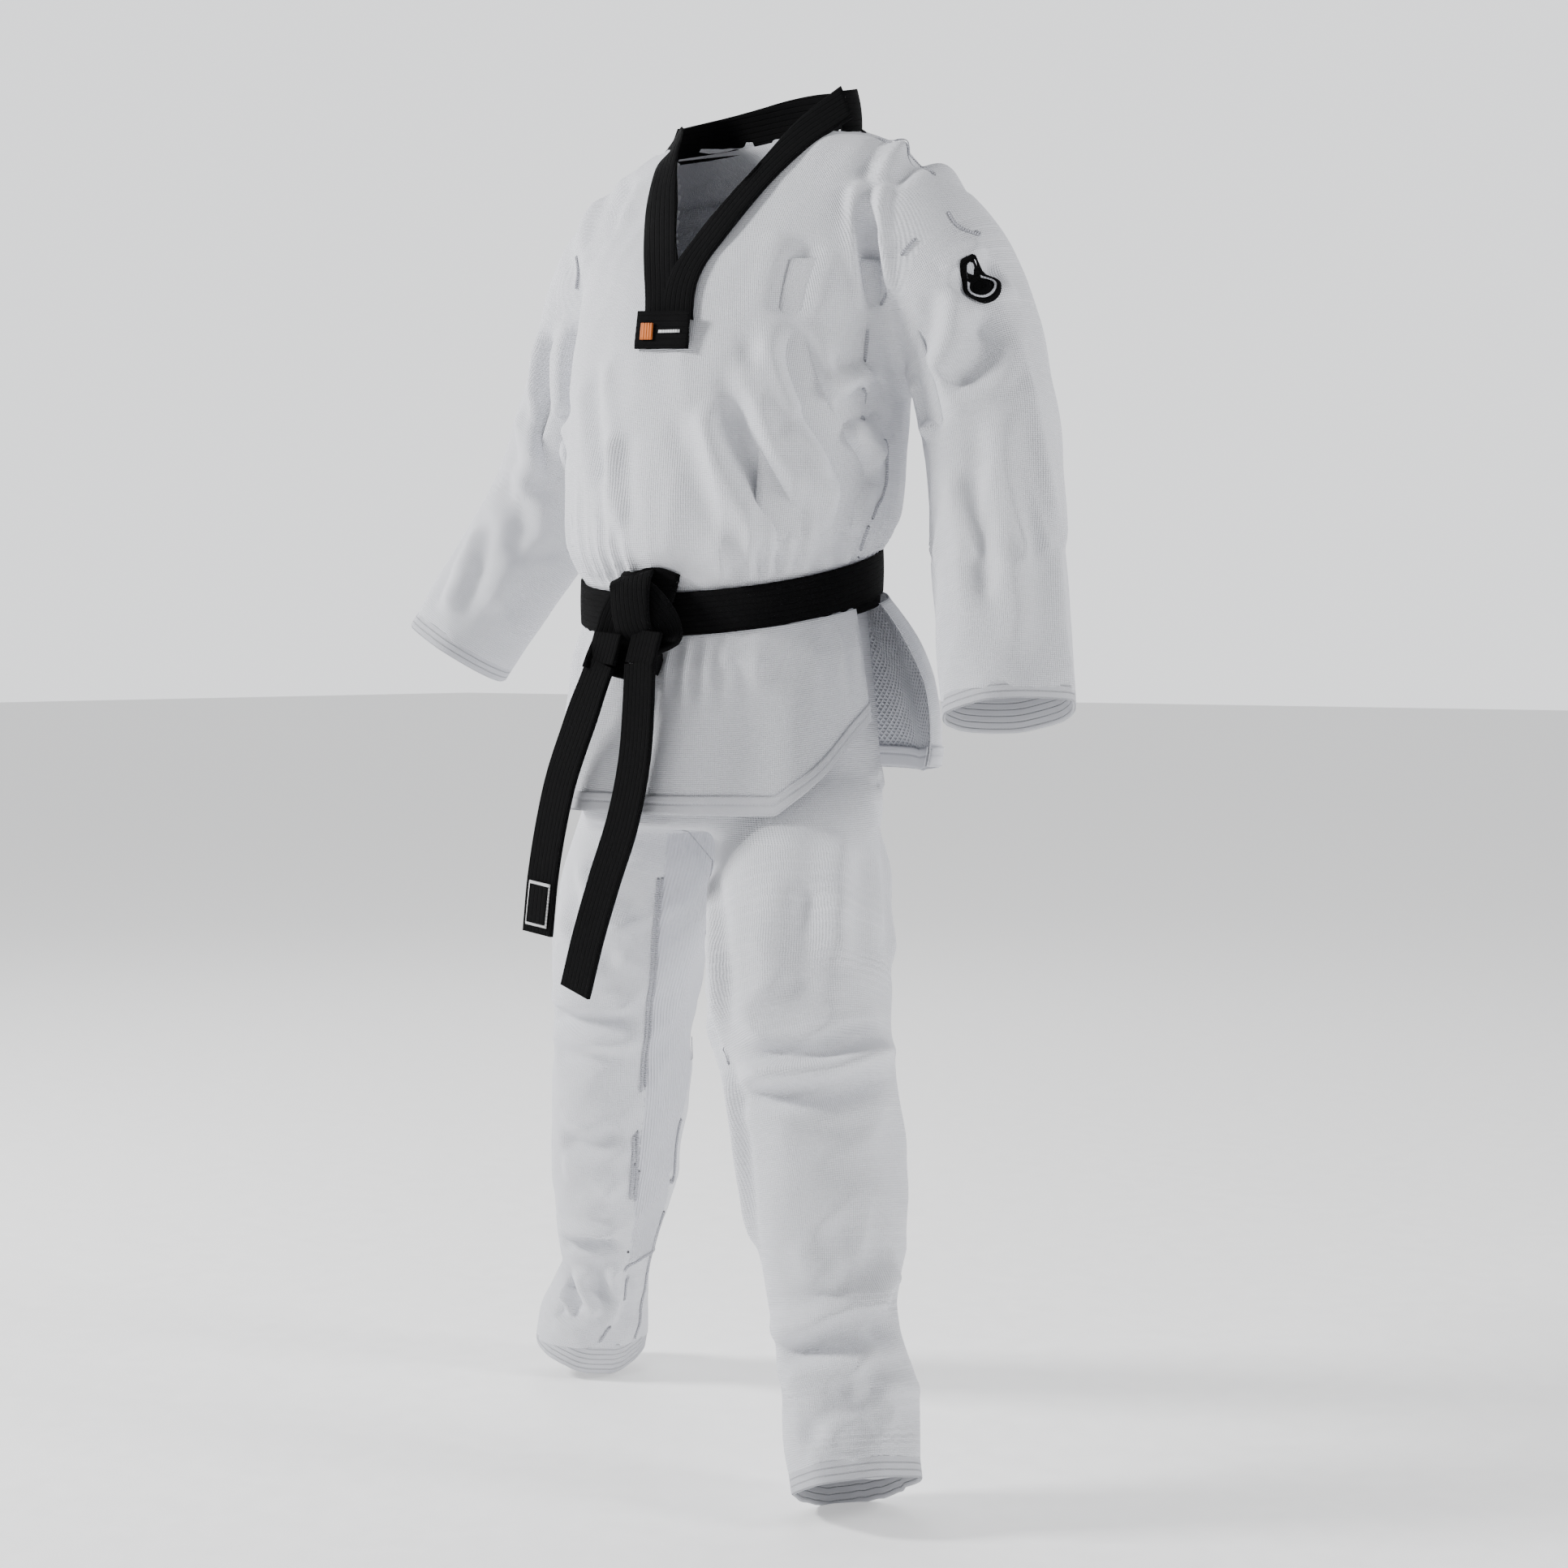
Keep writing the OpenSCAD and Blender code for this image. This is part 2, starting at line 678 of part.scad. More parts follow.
module hem_band(knee, ankle) {
  axis = unit(ankle - knee);
  toward = square_to(back_dir, axis);
  turns = steps(0, 360 - 360 / around, around - 1);
  color("whitesmoke")
    cloth_solid(
      [for (back = [hem_depth, hem_depth / 2, 0]) [
        for (turn = turns) ring(ankle - axis * back, axis, toward, hem_radius + 1, turn)
      ]],
      [for (back = [hem_depth, hem_depth / 2, 0]) [
        for (turn = turns) ring(ankle - axis * back, axis, toward, hem_radius - cloth, turn)
      ]],
      whole = true
    );
}

jacket_front_panel();
jacket_back_panel();
side_panel(0);  // left_side_panel
side_panel(180);  // right_side_panel
cap_part(1, shoulder_left, elbow_left, -120, 120, 20, 0);  // left_shoulder_cap
cap_part(-1, shoulder_right, elbow_right, -120, 120, 20, 0);  // right_shoulder_cap
cap_part(1, shoulder_left, elbow_left, 120, 240, 10, 2);  // left_underarm_gusset
cap_part(-1, shoulder_right, elbow_right, 120, 240, 10, 2);  // right_underarm_gusset
shoulder_badge();
collar_back_band();
collar_band(1);  // collar_left_band
collar_band(-1);  // collar_right_band
collar_patch();
belt_inner_wrap();
belt_outer_wrap();
belt_knot();
waistband();
waist_elastic();
waistband_eyelets();
seat_half(270);  // seat_front
seat_half(90);  // seat_back
leg_root(1, thigh_left, knee_left);  // left_leg_root
leg_root(-1, thigh_right, knee_right);  // right_leg_root
upper_sleeve(1, shoulder_left, elbow_left);  // left_upper_sleeve
lower_sleeve(shoulder_left, elbow_left, wrist_left);  // left_lower_sleeve
cuff(elbow_left, wrist_left);  // left_cuff
upper_sleeve(-1, shoulder_right, elbow_right);  // right_upper_sleeve
lower_sleeve(shoulder_right, elbow_right, wrist_right);  // right_lower_sleeve
cuff(elbow_right, wrist_right);  // right_cuff
front_skirt_panel();
front_hem_facing();
back_skirt_panel();
back_hem_facing();
belt_left_tail();
belt_right_tail();
belt_tail_patch();
color("white") thigh_part(1, thigh_left, knee_left, false);  // left_thigh_panel
color("gainsboro") thigh_part(1, thigh_left, knee_left, true);  // left_thigh_gusset
shin_panel(1, thigh_left, knee_left, ankle_left);  // left_shin_panel
shin_gusset(1, thigh_left, knee_left, ankle_left);  // left_shin_gusset
hem_band(knee_left, ankle_left);  // left_hem_band
color("white") thigh_part(-1, thigh_right, knee_right, false);  // right_thigh_panel
color("gainsboro") thigh_part(-1, thigh_right, knee_right, true);  // right_thigh_gusset
shin_panel(-1, thigh_right, knee_right, ankle_right);  // right_shin_panel
shin_gusset(-1, thigh_right, knee_right, ankle_right);  // right_shin_gusset
hem_band(knee_right, ankle_right);  // right_hem_band
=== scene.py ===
import json
import math

import bpy
import numpy as np
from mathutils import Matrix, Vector
from mathutils.bvhtree import BVHTree

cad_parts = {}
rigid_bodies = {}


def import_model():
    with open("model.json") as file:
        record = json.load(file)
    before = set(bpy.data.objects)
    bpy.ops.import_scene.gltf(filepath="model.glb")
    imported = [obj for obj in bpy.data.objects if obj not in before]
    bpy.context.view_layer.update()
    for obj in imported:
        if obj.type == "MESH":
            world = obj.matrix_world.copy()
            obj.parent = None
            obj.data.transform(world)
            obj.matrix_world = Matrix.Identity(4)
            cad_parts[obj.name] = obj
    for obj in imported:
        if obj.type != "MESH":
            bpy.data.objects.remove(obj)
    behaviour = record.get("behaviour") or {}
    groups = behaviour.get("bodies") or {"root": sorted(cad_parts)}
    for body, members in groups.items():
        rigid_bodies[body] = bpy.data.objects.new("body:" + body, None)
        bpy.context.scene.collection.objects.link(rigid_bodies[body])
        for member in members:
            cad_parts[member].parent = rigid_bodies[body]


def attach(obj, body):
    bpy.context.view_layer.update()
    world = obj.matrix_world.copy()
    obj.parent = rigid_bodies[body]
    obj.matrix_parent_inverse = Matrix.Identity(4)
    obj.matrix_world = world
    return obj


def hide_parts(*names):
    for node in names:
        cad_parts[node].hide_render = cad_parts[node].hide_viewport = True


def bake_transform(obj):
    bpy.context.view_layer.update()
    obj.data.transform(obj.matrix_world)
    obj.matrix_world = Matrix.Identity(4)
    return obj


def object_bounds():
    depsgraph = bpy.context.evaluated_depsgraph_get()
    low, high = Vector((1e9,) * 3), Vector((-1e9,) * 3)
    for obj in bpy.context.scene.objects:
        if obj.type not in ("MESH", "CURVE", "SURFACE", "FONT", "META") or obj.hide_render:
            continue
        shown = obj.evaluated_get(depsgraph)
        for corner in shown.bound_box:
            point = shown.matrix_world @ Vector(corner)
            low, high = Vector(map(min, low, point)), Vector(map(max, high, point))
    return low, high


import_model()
cad_box = [[float(c) for c in corner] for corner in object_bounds()]

# ---------------------------------------------------------------- camera, floor and light
camera_data = bpy.data.cameras.new("camera")
camera_data.lens = 62.57
camera_data.sensor_width = 36
camera = bpy.data.objects.new("camera", camera_data)
camera.location = (1.8346, -2.2556, -0.0561)
camera.rotation_euler = (math.radians(87), 0, math.radians(38))
bpy.context.collection.objects.link(camera)
bpy.context.scene.camera = camera


def area_light(name, place, target, size, power):
    data = bpy.data.lights.new(name, "AREA")
    data.size = size
    data.energy = power
    lamp = bpy.data.objects.new(name, data)
    lamp.location = place
    lamp.rotation_euler = (Vector(target) - Vector(place)).to_track_quat("-Z", "Y").to_euler()
    bpy.context.collection.objects.link(lamp)


area_light("key", (-2.9, -2.3, 2.1), (0, 0, -0.1), 0.8, 250)
area_light("side", (3.6, 0.9, 1.3), (0.1, 0, -0.1), 0.9, 85)
area_light("rim", (-2.6, 2.4, 2.2), (0, 0, 0), 1.6, 30)

world = bpy.data.worlds.new("world")
world.use_nodes = True
sky = world.node_tree
toward = sky.nodes.new("ShaderNodeVectorMath")
toward.operation = "DOT_PRODUCT"
toward.inputs[1].default_value = (-0.616, 0.788, 0.0)
sky.links.new(sky.nodes.new("ShaderNodeTexCoord").outputs["Generated"], toward.inputs[0])
level = sky.nodes.new("ShaderNodeMapRange")
level.interpolation_type = "SMOOTHSTEP"
for number, value in enumerate((0.1, 0.8, 0.30, 1.6), 1):
    level.inputs[number].default_value = value
sky.links.new(toward.outputs["Value"], level.inputs[0])
sky.nodes["Background"].inputs[0].default_value = (0.97, 0.98, 1.0, 1)
sky.links.new(level.outputs[0], sky.nodes["Background"].inputs[1])
bpy.context.scene.world = world


# ---------------------------------------------------------------- materials
class Graph:
    """A material's nodes, written as sums"""

    def __init__(self, name):
        self.material = bpy.data.materials.new(name)
        self.material.use_nodes = True
        self.nodes = self.material.node_tree.nodes
        self.links = self.material.node_tree.links
        self.shader = self.nodes["Principled BSDF"]

    def plug(self, socket, value):
        if isinstance(value, bpy.types.NodeSocket):
            self.links.new(value, socket)
        else:
            socket.default_value = value

    def math(self, kind, a, b=0.0, c=0.0):
        node = self.nodes.new("ShaderNodeMath")
        node.operation = kind
        for socket, value in zip(node.inputs, (a, b, c)):
            self.plug(socket, value)
        return node.outputs[0]

    def uv(self):
        node = self.nodes.new("ShaderNodeUVMap")
        node.uv_map = "cloth"
        split = self.nodes.new("ShaderNodeSeparateXYZ")
        self.links.new(node.outputs[0], split.inputs[0])
        return split.outputs[0], split.outputs[1]

    def noise(self, scale, detail=3.0, rough=0.55):
        place = self.nodes.new("ShaderNodeTexCoord")
        node = self.nodes.new("ShaderNodeTexNoise")
        node.inputs["Scale"].default_value = scale
        node.inputs["Detail"].default_value = detail
        node.inputs["Roughness"].default_value = rough
        self.links.new(place.outputs["Object"], node.inputs["Vector"])
        return node.outputs[0]

    def wave(self, value, pitch, phase=0.0):
        return self.math("SINE", self.math("MULTIPLY_ADD", value, 2 * math.pi / pitch, phase))

    def mix(self, share, a, b):
        node = self.nodes.new("ShaderNodeMix")
        node.data_type = "RGBA"
        self.plug(node.inputs[0], share)
        node.inputs[6].default_value = (*a, 1)
        node.inputs[7].default_value = (*b, 1)
        return node.outputs[2]

    def bump(self, height, distance, strength=1.0):
        node = self.nodes.new("ShaderNodeBump")
        node.inputs["Strength"].default_value = strength
        node.inputs["Distance"].default_value = distance
        self.links.new(height, node.inputs["Height"])
        self.links.new(node.outputs[0], self.shader.inputs["Normal"])


def cloth(name, light, dark, weave="dobby", rows=0.0, rough=0.85, depth=0.0004, sheen=0.1, shine=0.2):
    """A woven cloth with painted shade: its colour is darker in the weave's hollows and in the grooves
    between the stitched rows. rows is the pitch of the stitched rows across it, or 0.
    """
    g = Graph(name)
    u, v = g.uv()
    if weave == "dobby":
        a = g.wave(g.math("ADD", u, v), 0.0042)
        b = g.wave(g.math("SUBTRACT", u, v), 0.0042)
        height = g.math("MULTIPLY", a, b)
    elif weave == "mesh":
        a = g.wave(g.math("ADD", u, v), 0.0075)
        b = g.wave(g.math("SUBTRACT", u, v), 0.0075)
        height = g.math("MULTIPLY", g.math("MAXIMUM", a, b), 1.4)
    elif weave == "rib":
        height = g.wave(u, 0.0034)
    elif weave == "piping":
        height = g.wave(u, 0.0026)
    else:
        a = g.wave(u, 0.0017)
        b = g.wave(v, 0.0017)
        height = g.math("MULTIPLY", a, b)
    grain = g.noise(420.0, 4.0, 0.7)
    height = g.math("MULTIPLY_ADD", g.math("SUBTRACT", grain, 0.5), 1.3, height)
    # Painted shade: the colour follows the weave's height, darker in its hollows and lighter on its crests
    tone = g.math("MULTIPLY_ADD", height, 0.13, 0.5)
    if rows:
        across = g.math("ABSOLUTE", g.math("SUBTRACT", g.math("FRACT", g.math("DIVIDE", v, rows)), 0.5))
        groove = g.math("SMOOTH_MAX", g.math("MULTIPLY_ADD", across, -7.0, 1.0), 0.0, 0.1)
        stitch = g.math("GREATER_THAN", g.wave(u, 0.0036), -0.35)
        thread = g.math("MULTIPLY", g.math("GREATER_THAN", groove, 0.55), stitch)
        height = g.math("MULTIPLY_ADD", groove, -4.5, height)
        height = g.math("MULTIPLY_ADD", thread, 2.2, height)
        # Painted shade: the grooves between the rows are coloured darker, and the stitches in them lighter
        tone = g.math("MULTIPLY_ADD", groove, -0.35, tone)
        tone = g.math("MULTIPLY_ADD", thread, 0.3, tone)
    # A random cloudy tone is laid over the painted shade of the weave and the grooves
    shade_and_cloud = g.math("MULTIPLY_ADD", g.math("SUBTRACT", g.noise(5.0, 2.0), 0.5), 0.5, tone)
    g.links.new(g.mix(shade_and_cloud, dark, light), g.shader.inputs["Base Color"])
    g.shader.inputs["Roughness"].default_value = rough
    g.shader.inputs["Specular IOR Level"].default_value = shine
    g.shader.inputs["Sheen Weight"].default_value = sheen
    g.shader.inputs["Sheen Roughness"].default_value = 0.5
    g.bump(height, depth)
    return g.material


WHITE = cloth("white_cotton", (0.83, 0.835, 0.875), (0.70, 0.71, 0.76))
WHITE_ROWS = cloth("white_rows", (0.84, 0.845, 0.88), (0.62, 0.63, 0.69), "plain", 0.0066)
FACING = cloth("white_facing", (0.84, 0.845, 0.88), (0.64, 0.65, 0.71), "plain", 0.0165, 0.85, 0.0003)
RIBBED = cloth("ribbed_cotton", (0.80, 0.805, 0.85), (0.58, 0.59, 0.66), "rib", 0.0, 0.9, 0.0006)
MESH = cloth("mesh_knit", (0.72, 0.725, 0.76), (0.40, 0.41, 0.46), "mesh", 0.0, 0.9, 0.0008)
BLACK = cloth(
    "black_cotton", (0.0045, 0.0045, 0.005), (0.0015, 0.0015, 0.002), "plain", 0.0062, 0.9, 0.0004, 0.0, 0.1,
)
BLACK_BELT = cloth(
    "black_belt", (0.0035, 0.0035, 0.004), (0.0012, 0.0012, 0.0015), "plain", 0.0058, 0.9, 0.0004, 0.0, 0.1,
)


def plain(name, colour, rough, metal=0.0, grain=900.0, depth=0.0002):
    g = Graph(name)
    height = g.noise(grain, 3.0)
    dark = tuple(c * 0.82 for c in colour)
    g.links.new(g.mix(height, dark, colour), g.shader.inputs["Base Color"])
    g.shader.inputs["Roughness"].default_value = rough
    g.shader.inputs["Metallic"].default_value = metal
    g.bump(height, depth)
    return g.material


# Seam strips: real raised seams, coloured darker grey than the white cloth as painted shade along them
SEAM_SHADE = cloth("seam_shade", (0.66, 0.665, 0.71), (0.36, 0.365, 0.42), "piping", 0.0, 0.85, 0.0006)
THREAD = cloth("badge_thread", (0.62, 0.63, 0.67), (0.46, 0.47, 0.52), "rib", 0.0, 0.55, 0.0005)
ORANGE = cloth("patch_mark", (0.75, 0.20, 0.03), (0.52, 0.12, 0.02), "rib", 0.0, 0.6, 0.0004)
LINEN = cloth("patch_white", (0.80, 0.80, 0.80), (0.62, 0.62, 0.64), "rib", 0.0, 0.6, 0.0004)
STEEL = plain("eyelet_metal", (0.62, 0.62, 0.63), 0.32, 1.0)
ELASTIC = cloth("elastic", (0.66, 0.66, 0.70), (0.50, 0.50, 0.54), "rib", 0.0055, 0.85, 0.0005)
FLOOR = plain("floor_paper", (0.93, 0.93, 0.93), 0.9, 0.0, 30.0, 0.0001)

bpy.ops.mesh.primitive_plane_add(size=60, location=(0, 0, cad_box[0][2] - 0.02))
floor = bpy.context.object
floor.name = "floor"
FLOOR.node_tree.nodes["Principled BSDF"].inputs["Emission Color"].default_value = (1, 1, 1, 1)
FLOOR.node_tree.nodes["Principled BSDF"].inputs["Emission Strength"].default_value = 0.45
floor.data.materials.append(FLOOR)


# ---------------------------------------------------------------- mesh helpers
def mesh_object(name, points, faces, material, uv=None, smooth=True):
    """A new object. uv gives each face's corners in metres, in the order of faces."""
    data = bpy.data.meshes.new(name)
    data.from_pydata([tuple(p) for p in points], [], [tuple(int(i) for i in f) for f in faces])
    data.materials.append(material)
    data.polygons.foreach_set("use_smooth", [smooth] * len(data.polygons))
    if uv is not None:
        layer = data.uv_layers.new(name="cloth")
        layer.data.foreach_set("uv", np.asarray(uv, np.float32).ravel())
    data.update()
    obj = bpy.data.objects.new(name, data)
    bpy.context.collection.objects.link(obj)
    return obj


def baked(obj):
    """The object with its modifiers made part of its mesh"""
    depsgraph = bpy.context.evaluated_depsgraph_get()
    data = bpy.data.meshes.new_from_object(obj.evaluated_get(depsgraph), depsgraph=depsgraph)
    obj.modifiers.clear()
    obj.data = data
    data.name = obj.name
    return obj


def thicken(obj, thickness, rim=True, offset=-1.0):
    mod = obj.modifiers.new("thickness", "SOLIDIFY")
    mod.thickness = thickness
    mod.offset = offset
    mod.use_rim = rim
    return baked(obj)


def sheet_grid(name, grid, material, thickness=0.0, closed=False, offset=-1.0):
    """A grid of points, rows across and columns along, as a cloth with its lengths as uv"""
    grid = np.asarray(grid, float)
    rows, cols = grid.shape[:2]
    wrap = np.concatenate([grid, grid[:, :1]], 1) if closed else grid
    along = np.linalg.norm(np.diff(wrap, axis=1), axis=2).mean(0)
    u = np.concatenate([[0], np.cumsum(along)])
    down = np.linalg.norm(np.diff(grid, axis=0), axis=2)
    v = np.concatenate([np.zeros((1, cols)), np.cumsum(down, 0)])
    faces, uv = [], []
    spans = cols if closed else cols - 1
    for i in range(rows - 1):
        for j in range(spans):
            k = (j + 1) % cols
            faces.append((i * cols + j, i * cols + k, (i + 1) * cols + k, (i + 1) * cols + j))
            uv += [(u[j], v[i, j]), (u[j + 1], v[i, k]), (u[j + 1], v[i + 1, k]), (u[j], v[i + 1, j])]
    obj = mesh_object(name, grid.reshape(-1, 3), faces, material, uv)
    return thicken(obj, thickness, offset=offset) if thickness else obj


def arrays(obj):
    """Points and four-sided faces of an object, as arrays"""
    data = obj.data
    points = np.empty(len(data.vertices) * 3)
    data.vertices.foreach_get("co", points)
    faces = np.array([tuple(p.vertices) for p in data.polygons if len(p.vertices) == 4])
    return points.reshape(-1, 3), faces


def unit(v):
    v = np.asarray(v, float)
    return v / (np.linalg.norm(v, axis=-1, keepdims=True) + 1e-12)


def metres(points):
    return np.array(points) / 1000


def smoothstep(a, b, x):
    t = np.clip((x - a) / (b - a), 0, 1)
    return t * t * (3 - 2 * t)


def resample(points, step):
    """A smooth line through points, as points about step apart"""
    p = np.asarray(points, float)
    far = np.concatenate([[0], np.cumsum(np.linalg.norm(np.diff(p, axis=0), axis=1))])
    n = max(2, int(round(far[-1] / step)) + 1)
    t = np.linspace(0, far[-1], n)
    tangent = np.gradient(p, far, axis=0)
    i = np.clip(np.searchsorted(far, t, side="right") - 1, 0, len(far) - 2)
    span = (far[i + 1] - far[i])[:, None]
    s = ((t - far[i]) / span[:, 0])[:, None]
    a, b = p[i], p[i + 1]
    return (
        (2 * s**3 - 3 * s**2 + 1) * a
        + (s**3 - 2 * s**2 + s) * span * tangent[i]
        + (3 * s**2 - 2 * s**3) * b
        + (s**3 - s**2) * span * tangent[i + 1]
    )


def frames(line, side):
    """Directions along, across and out of a line, across staying near side"""
    along = unit(np.gradient(line, axis=0))
    out = unit(np.cross(along, np.broadcast_to(side, along.shape)))
    across = np.cross(out, along)
    return along, across, out


def tube(line, radius, turns=40):
    """Closed tube round a line, as points and faces"""
    along = unit(np.gradient(line, axis=0))
    side = np.array([0.0, -1.0, 0.0])
    first = unit(side - along * (along @ side)[:, None])
    second = np.cross(along, first)
    t = np.linspace(0, 2 * math.pi, turns, endpoint=False)
    across = first[:, None] * np.cos(t)[None, :, None]
    up = second[:, None] * np.sin(t)[None, :, None]
    return closed_loft(line[:, None] + radius[:, None, None] * (across + up))


def closed_loft(rings):
    rows, turns = rings.shape[:2]
    faces = [
        (i * turns + j, i * turns + (j + 1) % turns, (i + 1) * turns + (j + 1) % turns, (i + 1) * turns + j)
        for i in range(rows - 1)
        for j in range(turns)
    ]
    points = np.concatenate([rings.reshape(-1, 3), rings[:1].mean(1), rings[-1:].mean(1)])
    low, high = len(points) - 2, len(points) - 1
    faces += [(low, (j + 1) % turns, j) for j in range(turns)]
    last = (rows - 1) * turns
    faces += [(high, last + j, last + (j + 1) % turns) for j in range(turns)]
    return points, faces


def fused(name, parts, voxel=0.007, smooth=6):
    """One skin round several closed bodies"""
    points, faces, base = [], [], 0
    for p, f in parts:
        points.append(p)
        faces += [tuple(i + base for i in face) for face in f]
        base += len(p)
    obj = mesh_object(name, np.concatenate(points), faces, WHITE)
    mod = obj.modifiers.new("skin", "REMESH")
    mod.mode = "VOXEL"
    mod.voxel_size = voxel
    mod = obj.modifiers.new("smooth", "SMOOTH")
    mod.factor = 0.5
    mod.iterations = smooth
    return baked(obj)


def kept_faces(points, faces, keep):
    """The faces for which keep is true, with the points they use"""
    faces = faces[keep]
    used = np.unique(faces)
    index = np.full(len(points), -1)
    index[used] = np.arange(len(used))
    return points[used], index[faces], used


# ---------------------------------------------------------------- body shapes, in metres
RISE = 0.23


def level_of(p):
    """Height along the garment of points, where the belt's plane rises to the back"""
    y, z = p[:, 1], p[:, 2]
    up = (z - RISE * y) / (1 - RISE * y / 0.2)
    low = (z - RISE * y) / (1 + RISE * y / 0.2)
    flat = np.where(z - RISE * y >= 0, up, low)
    return np.where(np.abs(flat) < 0.2, flat, z)


def rise(level):
    return RISE * np.maximum(0, 1 - np.abs(level) / 0.2)


def table(rows):
    rows = np.array(rows, float) / 1000
    return lambda level: np.interp(level, rows[:, 0], rows[:, 1])


jacket_width = table([
    (-30, 168), (20, 168), (34, 176), (60, 190), (100, 197), (180, 199), (250, 202), (310, 206),
    (370, 210), (400, 208), (440, 200), (455, 182), (468, 150), (478, 122), (508, 112),
])
jacket_depth = table([
    (-30, 129), (20, 129), (34, 138), (60, 152), (100, 156), (180, 152), (250, 148), (340, 130),
    (370, 112), (400, 96), (440, 80), (478, 67), (508, 61),
])
jacket_centre = table([
    (30, 0), (100, 4), (180, 10), (250, 20), (340, 36), (400, 46), (440, 52), (478, 57), (508, 60),
])
front_width = table([(-260, 204), (-170, 194), (-100, 186), (-60, 182), (-20, 171)])
front_depth = table([(-260, 166), (-170, 156), (-100, 148), (-60, 144), (-20, 131)])
back_width = table([(-240, 222), (-170, 216), (-100, 200), (-60, 186), (-20, 171)])
back_depth = table([(-240, 208), (-170, 196), (-100, 170), (-60, 150), (-20, 131)])
seat_width = table([(-260, 176), (-215, 176), (-150, 170), (-80, 162), (-10, 156), (30, 156)])
seat_depth = table([(-260, 134), (-215, 134), (-150, 130), (-80, 124), (-10, 117), (30, 117)])


def oval(width, depth, centre, level, angle, off=0.0):
    level, angle, off = np.broadcast_arrays(level, angle, off)
    y = centre(level) + (depth(level) + off) * np.sin(angle)
    return np.stack([(width(level) + off) * np.cos(angle), y, level + rise(level) * y], -1)


def jacket(level, angle, off=0.0):
    return oval(jacket_width, jacket_depth, jacket_centre, level, angle, off)


def middle(level):
    return np.zeros_like(level)


PIVOTS = {
    "left_shoulder": (0.270, 0.070, 0.225), "left_elbow": (0.308, 0.047, 0.085),
    "left_wrist": (0.355, -0.014, -0.130), "right_shoulder": (-0.268, 0.075, 0.225),
    "right_elbow": (-0.340, 0.075, 0.095), "right_wrist": (-0.426, 0.022, -0.065),
    "left_hip": (0.153, -0.070, -0.350), "left_knee": (0.197, -0.112, -0.480),
    "left_ankle": (0.291, -0.166, -0.865), "right_hip": (-0.151, 0.022, -0.350),
    "right_knee": (-0.188, 0.040, -0.490), "right_ankle": (-0.282, 0.089, -0.865),
}
PIVOTS = {name: np.array(place) for name, place in PIVOTS.items()}

SLEEVE_LINES = {
    "left": (
        [(0.10, 0.052, 0.385), (0.19, 0.055, 0.365), (0.232, 0.062, 0.318), (0.254, 0.067, 0.27),
         (0.281, 0.066, 0.19), (0.306, 0.048, 0.09), (0.324, 0.026, 0.01), (0.343, 0.006, -0.07),
         (0.357, -0.008, -0.13)],
        [0.068, 0.072, 0.074, 0.074, 0.071, 0.069, 0.067, 0.066, 0.065],
    ),
    "right": (
        [(-0.10, 0.052, 0.385), (-0.185, 0.058, 0.368), (-0.226, 0.066, 0.318), (-0.248, 0.073, 0.27),
         (-0.286, 0.077, 0.19), (-0.335, 0.075, 0.095), (-0.381, 0.048, 0.014), (-0.424, 0.022, -0.065)],
        [0.068, 0.072, 0.074, 0.075, 0.073, 0.070, 0.067, 0.065],
    ),
}
LEG_LINES = {
    "left": (
        [(0.088, -0.004, -0.20), (0.115, -0.030, -0.27), (0.150, -0.074, -0.35), (0.165, -0.094, -0.403),
         (0.193, -0.113, -0.476), (0.219, -0.122, -0.562), (0.236, -0.132, -0.639), (0.245, -0.142, -0.708),
         (0.270, -0.149, -0.791), (0.279, -0.157, -0.836), (0.291, -0.166, -0.868)],
        [0.080, 0.088, 0.093, 0.094, 0.084, 0.081, 0.074, 0.063, 0.067, 0.066, 0.062],
    ),
    "right": (
        [(-0.088, 0.004, -0.20), (-0.112, 0.010, -0.27), (-0.151, 0.022, -0.350), (-0.185, 0.037, -0.476),
         (-0.198, 0.048, -0.543), (-0.222, 0.062, -0.659), (-0.239, 0.070, -0.729), (-0.250, 0.078, -0.784),
         (-0.265, 0.080, -0.819), (-0.282, 0.087, -0.868)],
        [0.080, 0.088, 0.093, 0.078, 0.0785, 0.0726, 0.0585, 0.0495, 0.0595, 0.067],
    ),
}


def body_line(points, radii, step=0.01):
    line = resample(points, step)
    far = np.concatenate([[0], np.cumsum(np.linalg.norm(np.diff(points, axis=0), axis=1))])
    t = np.linspace(0, far[-1], len(line))
    return line, np.interp(t, far, radii)


def jacket_base():
    levels = np.concatenate([np.linspace(-0.03, 0.44, 60), np.linspace(0.445, 0.512, 12)])
    angles = np.linspace(0, 2 * math.pi, 96, endpoint=False)
    rings = jacket(levels[:, None], angles[None, :])
    parts = [closed_loft(rings)]
    for side in ("left", "right"):
        parts.append(tube(*body_line(*SLEEVE_LINES[side])))
    return fused("jacket_base", parts)


def trouser_base():
    levels = np.linspace(-0.25, 0.02, 40)
    angles = np.linspace(0, 2 * math.pi, 96, endpoint=False)
    rings = oval(seat_width, seat_depth, middle, levels[:, None], angles[None, :])
    parts = [closed_loft(rings)]
    for side in ("left", "right"):
        parts.append(tube(*body_line(*LEG_LINES[side])))
    return fused("trouser_base", parts)


def armhole_side(p):
    """Above 0 on the sleeve's side of the armhole seam"""
    return 0.924 * np.abs(p[:, 0]) - 0.38 * p[:, 2] - 0.122 + 4 * (p[:, 1] - 0.06) ** 2


def along_limb(p, a, b):
    axis = unit(b - a)
    return (p - a) @ axis


